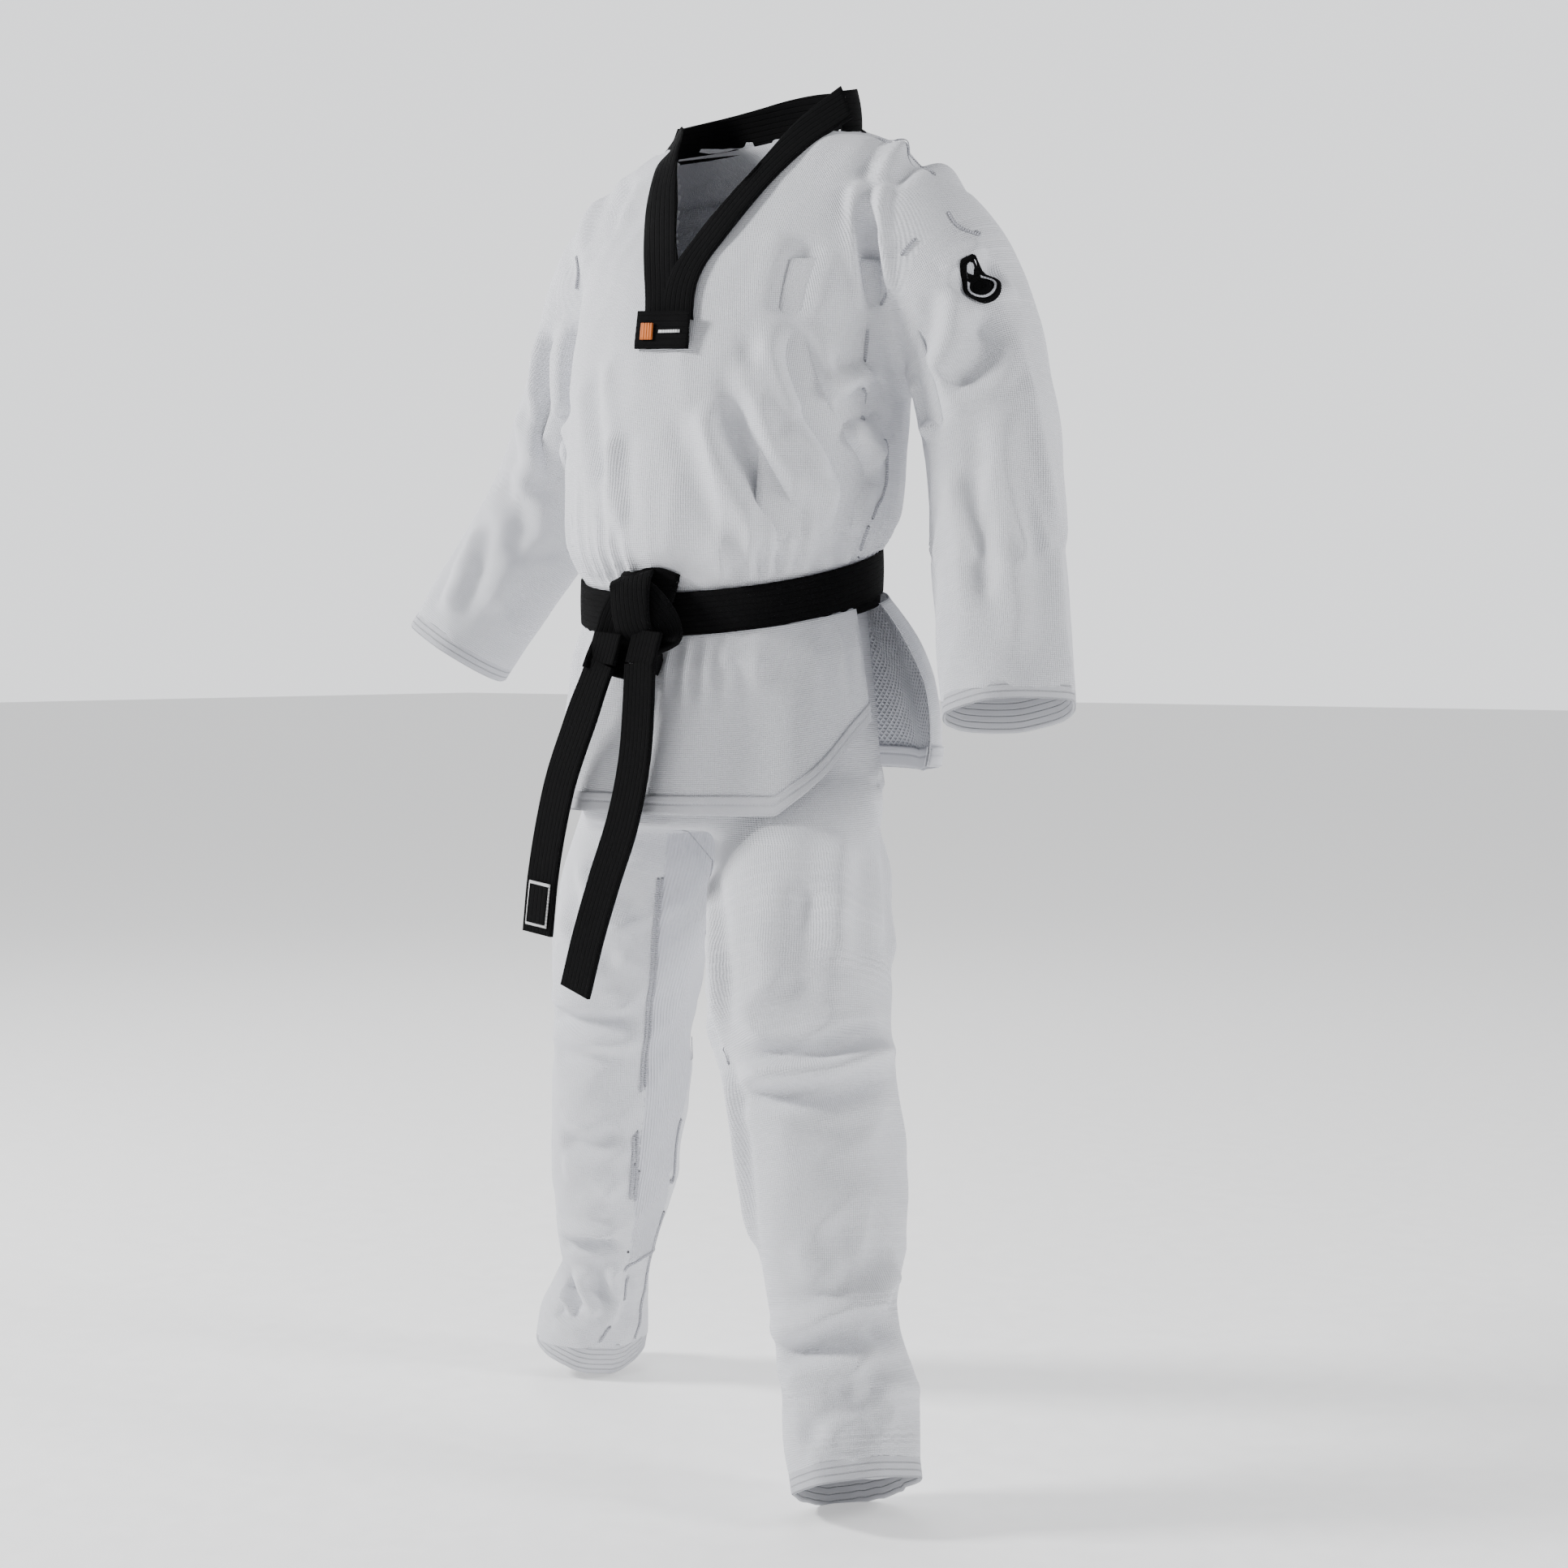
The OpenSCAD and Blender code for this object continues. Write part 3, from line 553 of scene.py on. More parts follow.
def nearest(p, line):
    """Distance to a line of points, share along it and the nearest point's number"""
    best = np.full(len(p), 1e9)
    where = np.zeros(len(p))
    for i in range(len(line) - 1):
        a, b = line[i], line[i + 1]
        ab = b - a
        t = np.clip((p - a) @ ab / (ab @ ab), 0, 1)
        d = np.linalg.norm(p - a - t[:, None] * ab, axis=1)
        closer = d < best
        best[closer] = d[closer]
        where[closer] = i + t[closer]
    return best, where


# Round distances on a limb are measured at this radius
LIMB_RADIUS = 0.075


def limb_uv(p, line):
    """Distance round and along a limb, in metres"""
    _, where = nearest(p, line)
    i = np.clip(where.astype(int), 0, len(line) - 2)
    along = unit(line[i + 1] - line[i])
    centre = line[i] + (where - i)[:, None] * (line[i + 1] - line[i])
    side = np.array([0.0, -1.0, 0.0])
    first = unit(side - along * (along @ side)[:, None])
    second = np.cross(along, first)
    out = p - centre
    turn = np.arctan2((out * second).sum(1), (out * first).sum(1))
    far = np.concatenate([[0], np.cumsum(np.linalg.norm(np.diff(line, axis=0), axis=1))])
    return turn * LIMB_RADIUS, np.interp(where, np.arange(len(line)), far)


def face_uv(faces, u, v, period):
    """Uv at the corners of faces, with the faces over the seam of a ring kept whole"""
    cu, cv = u[faces], v[faces]
    cu = np.where(cu.max(1, keepdims=True) - cu > period / 2, cu + period, cu)
    return np.stack([cu, cv], -1).reshape(-1, 2)


def point_normals(points, faces):
    n = np.zeros_like(points)
    a, b, c, d = (points[faces[:, i]] for i in range(4))
    f = np.cross(c - a, d - b)
    for i in range(4):
        np.add.at(n, faces[:, i], f)
    return unit(n)


# ---------------------------------------------------------------- folds
def fold(points, normals, line, height, width, hollow=0.45):
    """Raises a soft ridge along a line, with a hollow on both sides. A height below 0 sinks it."""
    line = resample(line, 0.01)
    d, where = nearest(points, line)
    t = where / (len(line) - 1)
    ends = np.clip(np.minimum(t, 1 - t) * 5, 0, 1)
    ends = ends * ends * (3 - 2 * ends)
    profile = np.exp(-((d / width) ** 2)) - hollow * np.exp(-(((d - 1.9 * width) / (0.9 * width)) ** 2))
    return points + normals * (height * profile * ends)[:, None]


def crease(points, normals, line, height, width):
    """Raises a pressed crease along a line, sharp at its top"""
    line = resample(line, 0.01)
    d, where = nearest(points, line)
    t = where / (len(line) - 1)
    ends = smoothstep(0, 0.25, t) * smoothstep(0, 0.04, 1 - t)
    return points + normals * (height * np.exp(-d / width) * ends)[:, None]


def wrinkles(p, seed, pitch, stretch):
    """A field of soft wrinkles about pitch apart, longest where stretch is smallest"""
    rng = np.random.default_rng(seed)
    total = 0
    for _ in range(9):
        way, bend = unit(rng.normal(size=3) * stretch), unit(rng.normal(size=3))
        warp = 1.3 * np.sin(p @ bend * (2.1 / pitch) + rng.uniform(0, 6))
        rate = 2 * math.pi / (pitch * rng.uniform(0.7, 1.4))
        total = total + np.sin(p @ way * rate + rng.uniform(0, 6) + warp)
    total = total / 3
    return 0.6 - np.sqrt(total**2 + 0.06)


# Each fold, in millimetres: its line on the cloth, its height (below 0 for a hollow) and its half width.
# The lines came from another program, which cast lines traced on the photograph onto the body
JACKET_FOLD_STRENGTH = 1.7
JACKET_FOLDS = [
    ([(143, -83, 256), (162, -76, 196), (184, -49, 137), (190, -32, 88)], -7, 14),
    ([(119, -91, 277), (139, -94, 206), (162, -81, 147), (176, -66, 97), (178, -52, 58)], 5, 13),
    ([(93, -121, 197), (112, -119, 140), (134, -110, 93), (159, -82, 47)], -6, 15),
    ([(103, -110, 237), (125, -108, 180), (151, -93, 123), (167, -76, 77)], 5, 14),
    ([(66, -131, 191), (88, -131, 130), (112, -124, 80), (127, -111, 44)], 4.5, 16),
    ([(144, -47, 359), (139, -72, 304), (142, -82, 263)], -4, 16),
    ([(152, -89, 176), (173, -67, 153), (188, -43, 128)], -4.5, 12),
    ([(186, 12, 417), (188, -3, 384), (193, -12, 342), (196, -12, 305), (199, -7, 279)], -10, 9.5),
    ([(194, 27, 430), (197, 9, 384), (201, 3, 340)], 7, 10),
    ([(190, 57, 462), (192, 24, 430), (190, 4, 394)], 6, 12),
    ([(181, -53, 170), (190, -35, 181), (196, -17, 195)], -10, 14),
    ([(177, -57, 197), (191, -31, 205), (195, -19, 225)], 6, 12),
    ([(184, -49, 154), (195, -19, 145), (198, 6, 126)], 6, 14),
    ([(192, -31, 115), (187, -41, 81), (180, -44, 51)], -6, 10),
    ([(220, 55, 461), (223, 75, 427), (234, 82, 390)], 4.5, 12),
    ([(-191, 13, 451), (-201, 2, 397), (-168, -43, 332)], 4.5, 16),
    ([(-130, -2, 450), (-147, -14, 415), (-136, -44, 371)], -4, 14),
    ([(-99, -111, 236), (-71, -133, 164), (-57, -144, 95)], -3.5, 14),
    ([(-42, -140, 163), (-35, -148, 94), (-22, -150, 50)], 3.5, 12),
    ([(301, 8, 270), (317, 14, 240), (306, 1, 210), (275, -5, 202)], -6, 14),
    ([(287, 5, 300), (285, -2, 254), (262, -4, 202)], 6, 14),
    ([(245, -2, 227), (251, 1, 190), (257, -3, 157)], -5, 16),
    ([(231, 6, 215), (243, 6, 181), (261, -5, 143)], 6, 10),
    ([(312, -15, 128), (338, -31, 47), (359, -49, -32)], -3, 12),
    ([(328, 10, 193), (353, -5, 95), (377, -26, -1), (392, -46, -79)], 3.5, 14),
    ([(310, 49, 322), (300, 16, 300), (283, 0, 287)], -6, 13),
    ([(-260, -1, 298), (-272, 2, 269), (-276, 2, 228), (-273, 5, 183), (-270, 12, 151),
      (-267, 23, 121)], -8, 9),
    ([(-225, -8, 312), (-239, -1, 260), (-245, 6, 216), (-145, -95, 160)], 7, 12),
    ([(-242, 10, 202), (-255, 11, 180), (-274, 8, 165)], -7, 14),
    ([(-324, 18, 211), (-299, 5, 155), (-314, 7, 100)], 5, 14),
    ([(-357, 14, 130), (-314, 7, 82), (-325, 4, 27)], -4, 14),
    ([(-373, 1, 83), (-380, -18, 27), (-398, -33, -28)], 4, 12),
    ([(-306, 12, 73), (-328, 1, 27), (-352, -8, -28)], 3, 14),
]
TROUSER_FOLD_STRENGTH = 1.6
TROUSER_FOLDS = [
    ([(159, -190, -480), (218, -194, -473), (258, -168, -470), (273, -136, -461),
      (258, -58, -464)], 7.5, 11),
    ([(156, -186, -501), (220, -196, -495), (266, -166, -490), (279, -98, -482)], -5, 12),
    ([(159, -190, -462), (231, -185, -456), (266, -140, -444), (265, -79, -443)], -4, 10),
    ([(87, -157, -403), (114, -160, -462), (148, -183, -488), (170, -182, -591), (185, -180, -670)], 5, 8),
    ([(41, -103, -273), (128, -179, -385), (139, -181, -457)], 4, 10),
    ([(201, -186, -730), (265, -203, -709), (300, -172, -696), (307, -128, -694)], 6, 12),
    ([(219, -198, -748), (275, -204, -727), (304, -178, -716), (314, -126, -725)], -8, 14),
    ([(275, -191, -608), (299, -171, -655), (310, -133, -637)], -5, 18),
    ([(306, -117, -664), (305, -159, -680), (284, -190, -685)], 5, 12),
    ([(288, -208, -759), (311, -201, -780), (327, -169, -761)], -5, 14),
    ([(326, -108, -787), (327, -176, -769), (313, -203, -791), (278, -221, -817)], 5, 12),
    ([(257, -218, -822), (300, -212, -796), (329, -185, -793)], -4, 12),
    ([(197, -62, -244), (223, -109, -304), (247, -134, -381)], 4.5, 16),
    ([(202, -121, -289), (213, -156, -349), (229, -170, -410)], -4, 18),
    ([(170, 38, -212), (177, 43, -204), (187, 45, -212)], -5, 10),
    ([(191, 37, -232), (211, -3, -313), (250, -56, -388)], 4, 10),
    ([(-244, -14, -475), (-163, -41, -476), (-117, -12, -475)], -6, 12),
    ([(-240, -18, -495), (-161, -36, -491), (-120, -2, -495)], 5.5, 12),
    ([(-241, -9, -650), (-193, -8, -654), (-169, 16, -678)], 4, 14),
    ([(-235, -15, -612), (-186, -15, -616), (-152, 0, -596)], -5, 12),
    ([(-269, 21, -737), (-215, 15, -734), (-188, 40, -739)], -6, 10),
    ([(-268, 19, -729), (-216, 11, -725), (-185, 30, -722)], 5.5, 9),
    ([(-271, 30, -787), (-252, 23, -807), (-242, 25, -822)], -9, 7),
    ([(-239, 22, -767), (-238, 30, -796), (-223, 39, -829)], 6, 10),
    ([(-201, 34, -754), (-213, 52, -806), (-220, 49, -844)], 6, 9),
    ([(-279, 22, -822), (-258, 21, -824), (-243, 25, -824)], -5, 9),
    ([(-174, -67, -330), (-152, -65, -382), (-112, -45, -408)], -4, 14),
    ([(-153, -70, -284), (-124, -70, -345), (-88, -45, -371)], 4, 14),
]


# Stitched seams and the crease of the left leg, in millimetres, made like the lines of the folds. The crease
# also gets a darker strip, which is painted shade.
TORSO_SEAMS = {
    "shoulder_seam_left": [(165, 43, 474), (197, 47, 460), (236, 37, 417), (283, 23, 355), (294, 36, 350)],
    "side_seam_left": [(195, -19, 258), (194, -24, 208), (194, -23, 165),
        (198, 8, 145), (197, 13, 110), (189, -11, 59), (174, -7, 29)],
    "left_armhole_seam": [(293, 38, 352), (264, 9, 360), (238, -11, 338), (206, -4, 295), (199, -5, 280)],
    "right_armhole_seam": [(-222, 17, 415), (-207, -11, 369), (-212, -10, 332)],
}
RIGHT_LEG_SEAMS = [
    [(-48, -55, -257), (-68, -43, -336), (-109, -9, -464), (-127, 2, -529), (-165, 25, -683),
      (-147, 10, -606), (-189, 47, -748)],
    [(-44, -52, -257), (-65, -40, -336), (-106, -5, -464), (-125, 6, -529), (-162, 30, -684),
      (-145, 14, -606), (-186, 48, -741)],
    [(-127, 91, -502), (-135, 73, -602), (-151, 77, -668), (-147, 69, -657), (-179, 93, -722),
      (-194, 98, -755)],
    [(-199, 50, -772), (-190, 68, -762), (-198, 104, -756)],
    [(-193, 94, -757), (-207, 92, -813), (-213, 89, -861)],
    [(-199, 63, -783), (-211, 56, -820), (-238, 37, -873)],
]
LEFT_LEG_CREASE = [
    (15, -101, -241), (61, -126, -321), (125, -177, -386), (139, -181, -457), (150, -185, -481),
    (163, -183, -559), (182, -181, -654),
]


def refined(obj):
    mod = obj.modifiers.new("finer", "SUBSURF")
    mod.levels = 1
    mod.render_levels = 1
    return baked(obj)


# ---------------------------------------------------------------- jacket
jacket_obj = jacket_base()
points, faces = arrays(jacket_obj)
centres = points[faces].mean(1)
left_wrist_end = along_limb(centres, PIVOTS["left_elbow"], PIVOTS["left_wrist"])
left_reach = np.linalg.norm(PIVOTS["left_wrist"] - PIVOTS["left_elbow"])
right_wrist_end = along_limb(centres, PIVOTS["right_elbow"], PIVOTS["right_wrist"])
right_reach = np.linalg.norm(PIVOTS["right_wrist"] - PIVOTS["right_elbow"])
V_EDGE = np.array([
    (-112, 478), (-84, 470), (-58, 448), (-42, 420), (-24, 385), (-8, 355), (13, 328), (24, 355),
    (36, 385), (58, 420), (78, 448), (98, 470), (118, 480),
]) / 1000


def inside_opening(p, grow=0.0):
    """True inside the V and the neck hole"""
    front = p[:, 1] < 0.02
    v = front & (p[:, 2] > np.interp(p[:, 0], V_EDGE[:, 0], V_EDGE[:, 1]) + grow)
    return v | (p[:, 2] > 0.470 + 0.020 * smoothstep(0.04, 0.11, p[:, 1]))


drop = (
    inside_opening(centres, 0.004)
    | (level_of(centres) < -0.022)
    & (np.abs(centres[:, 0]) < 0.24)
    | (centres[:, 0] > 0.2) & (left_wrist_end > left_reach - 0.012)
    | (centres[:, 0] < -0.2) & (right_wrist_end > right_reach - 0.006)
)
points, faces, _ = kept_faces(points, faces, ~drop)
bpy.data.objects.remove(jacket_obj)
jacket_obj = mesh_object("jacket_base", points, faces, WHITE)
jacket_obj = refined(jacket_obj)
points, faces = arrays(jacket_obj)
bpy.data.objects.remove(jacket_obj)
normals = point_normals(points, faces)
for line, height, width in JACKET_FOLDS:
    points = fold(points, normals, metres(line), height / 1000 * JACKET_FOLD_STRENGTH, width / 1000)
points = crease(points, normals, [
    (0.322, 0.043, 0.290), (0.335, 0.041, 0.241), (0.359, 0.036, 0.154), (0.379, 0.028, 0.072),
    (0.399, 0.013, -0.016), (0.414, 0.001, -0.088), (0.424, -0.006, -0.150),
], 0.013, 0.022)
turn = np.arctan2((points[:, 1] - 0.02) / 0.15, points[:, 0] / 0.2)
level = level_of(points)
near_belt = smoothstep(0.022, 0.04, level) * np.exp(-np.clip(level - 0.03, 0, 1) / 0.032) * (level < 0.2)
gathers = np.sin(23 * turn + 2.4 * np.sin(3 * turn + 0.5) + 1.6 * np.sin(7 * turn))
points = points + normals * (near_belt * (0.6 - np.sqrt(gathers**2 + 0.05)) * 0.011)[:, None]
waist = smoothstep(0.022, 0.05, level) * (0.3 + 0.7 * np.exp(-np.clip(level, 0, 1) / 0.12))
waist = np.where(np.abs(points[:, 0]) > 0.22, 0.35, waist)
points = points + normals * (wrinkles(points, 3, 0.085, (1.0, 1.0, 0.45)) * waist * 0.0042)[:, None]
centres = points[faces].mean(1)
level = level_of(centres)
ratio = np.hypot(
    centres[:, 0] / jacket_width(level), (centres[:, 1] - jacket_centre(level)) / jacket_depth(level)
)
outside_torso = (ratio - 1) * 0.19
outside_sleeve = np.full(len(centres), 1.0)
for side in ("left", "right"):
    line, radii = body_line(*SLEEVE_LINES[side])
    d, where = nearest(centres, line)
    outside_sleeve = np.minimum(outside_sleeve, d - np.interp(where, np.arange(len(radii)), radii))
low_side = (centres[:, 2] < 0.31) & (outside_torso < outside_sleeve)
on_sleeve = (armhole_side(centres) > 0) & (np.abs(centres[:, 0]) > 0.15) & ~low_side


CLOTH_THICKNESS = 0.0014


def split(name, mask, u, v, period):
    part, part_faces, used = kept_faces(points, faces, mask)
    obj = mesh_object(name, part, part_faces, WHITE, face_uv(part_faces, u[used], v[used], period))
    return thicken(obj, CLOTH_THICKNESS, rim=False)


turn = np.arctan2((points[:, 1] - 0.02) / 0.15, points[:, 0] / 0.2)
torso = split("jacket_body", ~on_sleeve, turn * 0.175, points[:, 2], 2 * math.pi * 0.175)
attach(torso, "jacket")
SLEEVES = {}
for side, sign in (("left", 1), ("right", -1)):
    line, _ = body_line(*SLEEVE_LINES[side])
    u, v = limb_uv(points, line)
    shoulder, elbow = PIVOTS[side + "_shoulder"], PIVOTS[side + "_elbow"]
    middle_arm = along_limb(centres, shoulder, elbow) < np.linalg.norm(elbow - shoulder) * 0.5
    mine = on_sleeve & (centres[:, 0] * sign > 0)
    upper = split(side + "_sleeve_upper", mine & middle_arm, u, v, 2 * math.pi * LIMB_RADIUS)
    lower = split(side + "_sleeve_lower", mine & ~middle_arm, u, v, 2 * math.pi * LIMB_RADIUS)
    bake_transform(upper)
    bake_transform(lower)
    SLEEVES[side] = line
    # Where the sleeve lies on the jacket's side, each has its own cloth behind the seam
    angles = np.radians(np.linspace(-50, 50, 40) if side == "left" else np.linspace(130, 230, 40))
    hidden_side = jacket(np.linspace(0.06, 0.33, 50)[:, None], angles[None, :], -0.003)
    behind = sheet_grid(side + "_side_behind", hidden_side, WHITE, 0.001)
    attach(behind, "jacket")
    line, radii = body_line(*SLEEVE_LINES[side])
    high, low = np.interp([-0.30, -0.10], -line[:, 2], np.arange(len(line)))
    keep = slice(int(high), int(low) + 1)
    along = unit(np.gradient(line, axis=0))[keep]
    inward = unit(np.array([-sign, 0.0, 0.0]) - along * (along @ np.array([-sign, 0.0, 0.0]))[:, None])
    turns = np.radians(np.linspace(-80, 80, 30))[None, :, None]
    ways = inward[:, None] * np.cos(turns) + np.cross(along, inward)[:, None] * np.sin(turns)
    hidden_sleeve = line[keep][:, None] + ways * (radii[keep] - 0.003)[:, None, None]
    inner = sheet_grid(side + "_sleeve_behind", hidden_sleeve, WHITE, 0.001)
    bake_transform(inner)

# ---------------------------------------------------------------- trousers
trouser_obj = trouser_base()
points, faces = arrays(trouser_obj)
centres = points[faces].mean(1)
drop = (centres[:, 2] > 0.012) | (centres[:, 2] < -0.862)
points, faces, _ = kept_faces(points, faces, ~drop)
bpy.data.objects.remove(trouser_obj)
trouser_obj = refined(mesh_object("trouser_base", points, faces, WHITE))
points, faces = arrays(trouser_obj)
bpy.data.objects.remove(trouser_obj)
normals = point_normals(points, faces)
points = crease(points, normals, metres(LEFT_LEG_CREASE), 0.006, 0.014)
for line, height, width in TROUSER_FOLDS:
    points = fold(points, normals, metres(line), height / 1000 * TROUSER_FOLD_STRENGTH, width / 1000)
loose = smoothstep(-0.22, -0.34, points[:, 2])
points = points + normals * (wrinkles(points, 5, 0.10, (0.8, 0.8, 0.7)) * loose * 0.0038)[:, None]
centres = points[faces].mean(1)
LEGS = {side: body_line(*LEG_LINES[side])[0] for side in ("left", "right")}
to_left, _ = nearest(centres, LEGS["left"])
to_right, _ = nearest(centres, LEGS["right"])
seat_part = centres[:, 2] > -0.26
turn = np.arctan2(points[:, 1] / 0.125, points[:, 0] / 0.165)
seat = split("trouser_seat", seat_part, turn * 0.15, points[:, 2], 2 * math.pi * 0.15)
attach(seat, "jacket")
for side in ("left", "right"):
    mine = ~seat_part & ((to_left < to_right) if side == "left" else (to_left >= to_right))
    u, v = limb_uv(points, LEGS[side])
    hip, knee, ankle = (PIVOTS[side + part] for part in ("_hip", "_knee", "_ankle"))
    length = np.linalg.norm(knee - hip)
    above = along_limb(centres, hip, knee) < length * 0.6
    upper = split(side + "_leg_upper", mine & above, u, v, 2 * math.pi * LIMB_RADIUS)
    lower = split(side + "_leg_lower", mine & ~above, u, v, 2 * math.pi * LIMB_RADIUS)
    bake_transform(upper)
    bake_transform(lower)

# ---------------------------------------------------------------- skins to lay trims on
def skin_of(*objs):
    """A search tree over the outer skins of several objects"""
    verts, polys, base = [], [], 0
    for obj in objs:
        verts += [v.co.copy() for v in obj.data.vertices]
        polys += [[i + base for i in p.vertices] for p in obj.data.polygons]
        base += len(obj.data.vertices)
    return BVHTree.FromPolygons(verts, polys)


def cast(tree, start, way, off, reach):
    """Where a line from inside leaves the last skin within reach, raised by off"""
    start, way = Vector(start), Vector(way).normalized()
    far = None
    begin = start
    for _ in range(6):
        hit = tree.ray_cast(begin, way, reach)
        if hit[0] is None:
            break
        far = hit[0]
        begin = hit[0] + way * 0.002
    return None if far is None else np.array(far + way * off)


def cuff(name, limb, line, depth, short, node, body):
    """A band of stitched rows round a limb's end, turned in at its edge. short is cut off the line's end."""
    inner, lift, turns, beyond, reach = 0.035, 0.0012, 64, 0.004, 0.12
    tree = skin_of(limb)
    along = unit(line[-1] - line[-4])
    first = unit(np.array([0.0, -1.0, 0.0]) - along * (along @ np.array([0.0, -1.0, 0.0])))
    second = np.cross(along, first)
    end = line[-1] - along * short
    rows = []
    steps = np.linspace(depth, 0.016, 9)
    angles = np.linspace(0, 2 * math.pi, turns, endpoint=False)
    for s in steps:
        ring = []
        for n, a in enumerate(angles):
            way = first * math.cos(a) + second * math.sin(a)
            place = cast(tree, end - along * s, way, lift, reach)
            if place is None:
                place = rows[-1][n] + along * 0.004 if rows else end + way * 0.065
            ring.append(place)
        rows.append(np.array(ring))
    rows = np.array(rows)
    last = rows[-1]
    centre = last.mean(0)
    edge = last + along * 0.018
    out = unit(last - centre)
    lip = [edge - out * 0.0002 + along * (beyond - 0.002), edge - out * 0.002 + along * beyond]
    inside = [edge - out * 0.0036 + along * (beyond - 0.002)]
    for s in np.linspace(0.012, inner, 4):
        inside.append(last - out * 0.0048 - along * (s - 0.016))
    grid = np.concatenate([rows, np.array(lip), np.array(inside)])
    grid = grid[::-1]
    obj = sheet_grid(name, grid[:, ::-1], WHITE_ROWS, 0.0, closed=True)
    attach(obj, body)
    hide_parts(node)
    return obj


pieces = {o.name: o for o in bpy.data.objects}
for side in ("left", "right"):
    short = 0.006 if side == "left" else 0.0
    sleeve_end, leg_end = pieces[side + "_sleeve_lower"], pieces[side + "_leg_lower"]
    cuff(side + "_cuff_band", sleeve_end, SLEEVES[side], 0.046, short, side + "_cuff", side + "_forearm")
    cuff(side + "_hem", leg_end, LEGS[side], 0.040, 0.0, side + "_hem_band", side + "_shin")
    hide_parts(side + "_upper_sleeve", side + "_underarm_gusset")
    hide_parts(side + "_lower_sleeve")
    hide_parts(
        side + "_thigh_panel", side + "_thigh_gusset", side + "_leg_root",
    )
    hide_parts(side + "_shin_panel", side + "_shin_gusset")
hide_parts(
    "jacket_front_panel", "jacket_back_panel", "left_side_panel", "right_side_panel",
    "left_shoulder_cap", "right_shoulder_cap",
)
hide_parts("seat_front", "seat_back", "waistband")

# ---------------------------------------------------------------- seams
def piping(name, tree, line, width=0.0034, height=0.0012, step=0.005):
    """A narrow raised seam laid along a line on a skin, coloured darker than the cloth as painted shade
    along it
    """
    path = resample(line, step)
    spots = [tree.find_nearest(Vector(p)) for p in path]
    place = np.array([s[0] for s in spots])
    out = unit(np.array([s[1] for s in spots]))
    across = unit(np.cross(out, unit(np.gradient(place, axis=0))))
    grid = np.array([
        place + across * (share * width / 2) + out * (height * (1 - share**2) + 0.0012)
        for share in np.linspace(-1, 1, 5)
    ])
    return sheet_grid(name, grid, SEAM_SHADE)


def upon(obj, body):
    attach(obj, body)
    return obj


chest = skin_of(torso, pieces["left_sleeve_upper"], pieces["right_sleeve_upper"])
for name, line in TORSO_SEAMS.items():
    upon(piping(name, chest, metres(line)), "jacket")

leg_skins = {
    side: skin_of(pieces[side + "_leg_upper"], pieces[side + "_leg_lower"], seat)
    for side in ("left", "right")
}


def leg_seam(name, side, line, width=0.0032):
    """A seam down a leg, in a part that bends at the hip and one that bends at the knee"""
    path = resample(line, 0.005)
    hip, knee, ankle = (PIVOTS[side + part] for part in ("_hip", "_knee", "_ankle"))
    length = np.linalg.norm(knee - hip)
    far = along_limb(path, hip, knee)
    high, low = path[far < length * 0.6 + 0.004], path[far > length * 0.6 - 0.004]
    if len(high) > 3:
        obj = piping(name + "_high", leg_skins[side], high, width)
        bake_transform(obj)
    if len(low) > 3:
        obj = piping(name + "_low", leg_skins[side], low, width)
        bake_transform(obj)


for number, line in enumerate(RIGHT_LEG_SEAMS):
    leg_seam("right_leg_seam_%d" % number, "right", metres(line))
# Painted shade: the left leg's pressed crease is drawn as a narrow darker strip
leg_seam("left_leg_crease", "left", metres(LEFT_LEG_CREASE), 0.002)

# Ribbed panel on the inner side of each leg, between its front and back seams
edges = []
for line in RIGHT_LEG_SEAMS[1:3]:
    path = resample(metres(line), 0.01)
    u, v = limb_uv(path, LEGS["right"])
    order = np.argsort(v)
    edges.append((v[order], u[order]))
for side, sign in (("right", 1), ("left", -1)):
    for part in ("_leg_upper", "_leg_lower"):
        obj = pieces[side + part]
        obj.data.materials.append(RIBBED)
        p, f = arrays(obj)
        u, v = limb_uv(p[f].mean(1), LEGS[side])
        front, back = (np.interp(v, *edge) for edge in edges)
        ribbed = (u * sign < front) & (u * sign > back) & (v < edges[1][0][-1])
        obj.data.polygons.foreach_set("material_index", ribbed.astype(np.int32))

# ---------------------------------------------------------------- collar
# Outer and inner edge of each band, from below the V's tip to the side of the neck
COLLAR = {
    "right": (
        [(-0.012, -0.117, 0.272), (-0.020, -0.108, 0.299), (-0.029, -0.100, 0.322), (-0.053, -0.073, 0.363),
         (-0.076, -0.041, 0.405), (-0.086, -0.016, 0.441), (-0.098, 0.010, 0.462), (-0.109, 0.040, 0.478)],
        [(0.031, -0.117, 0.268), (0.022, -0.106, 0.306), (0.013, -0.095, 0.332), (-0.010, -0.068, 0.374),
         (-0.031, -0.043, 0.411), (-0.050, -0.022, 0.445), (-0.074, 0.012, 0.478), (-0.103, 0.050, 0.502)],
    ),
    "left": (
        [(0.048, -0.115, 0.268), (0.043, -0.108, 0.296), (0.044, -0.100, 0.316), (0.056, -0.086, 0.343),
         (0.063, -0.064, 0.371), (0.078, -0.042, 0.402), (0.108, -0.008, 0.446), (0.133, 0.038, 0.482)],
        [(0.005, -0.118, 0.270), (0.004, -0.105, 0.310), (0.013, -0.095, 0.335), (0.018, -0.068, 0.373),
         (0.024, -0.046, 0.405), (0.048, -0.024, 0.440), (0.079, 0.000, 0.474), (0.109, 0.050, 0.519)],
    ),
}


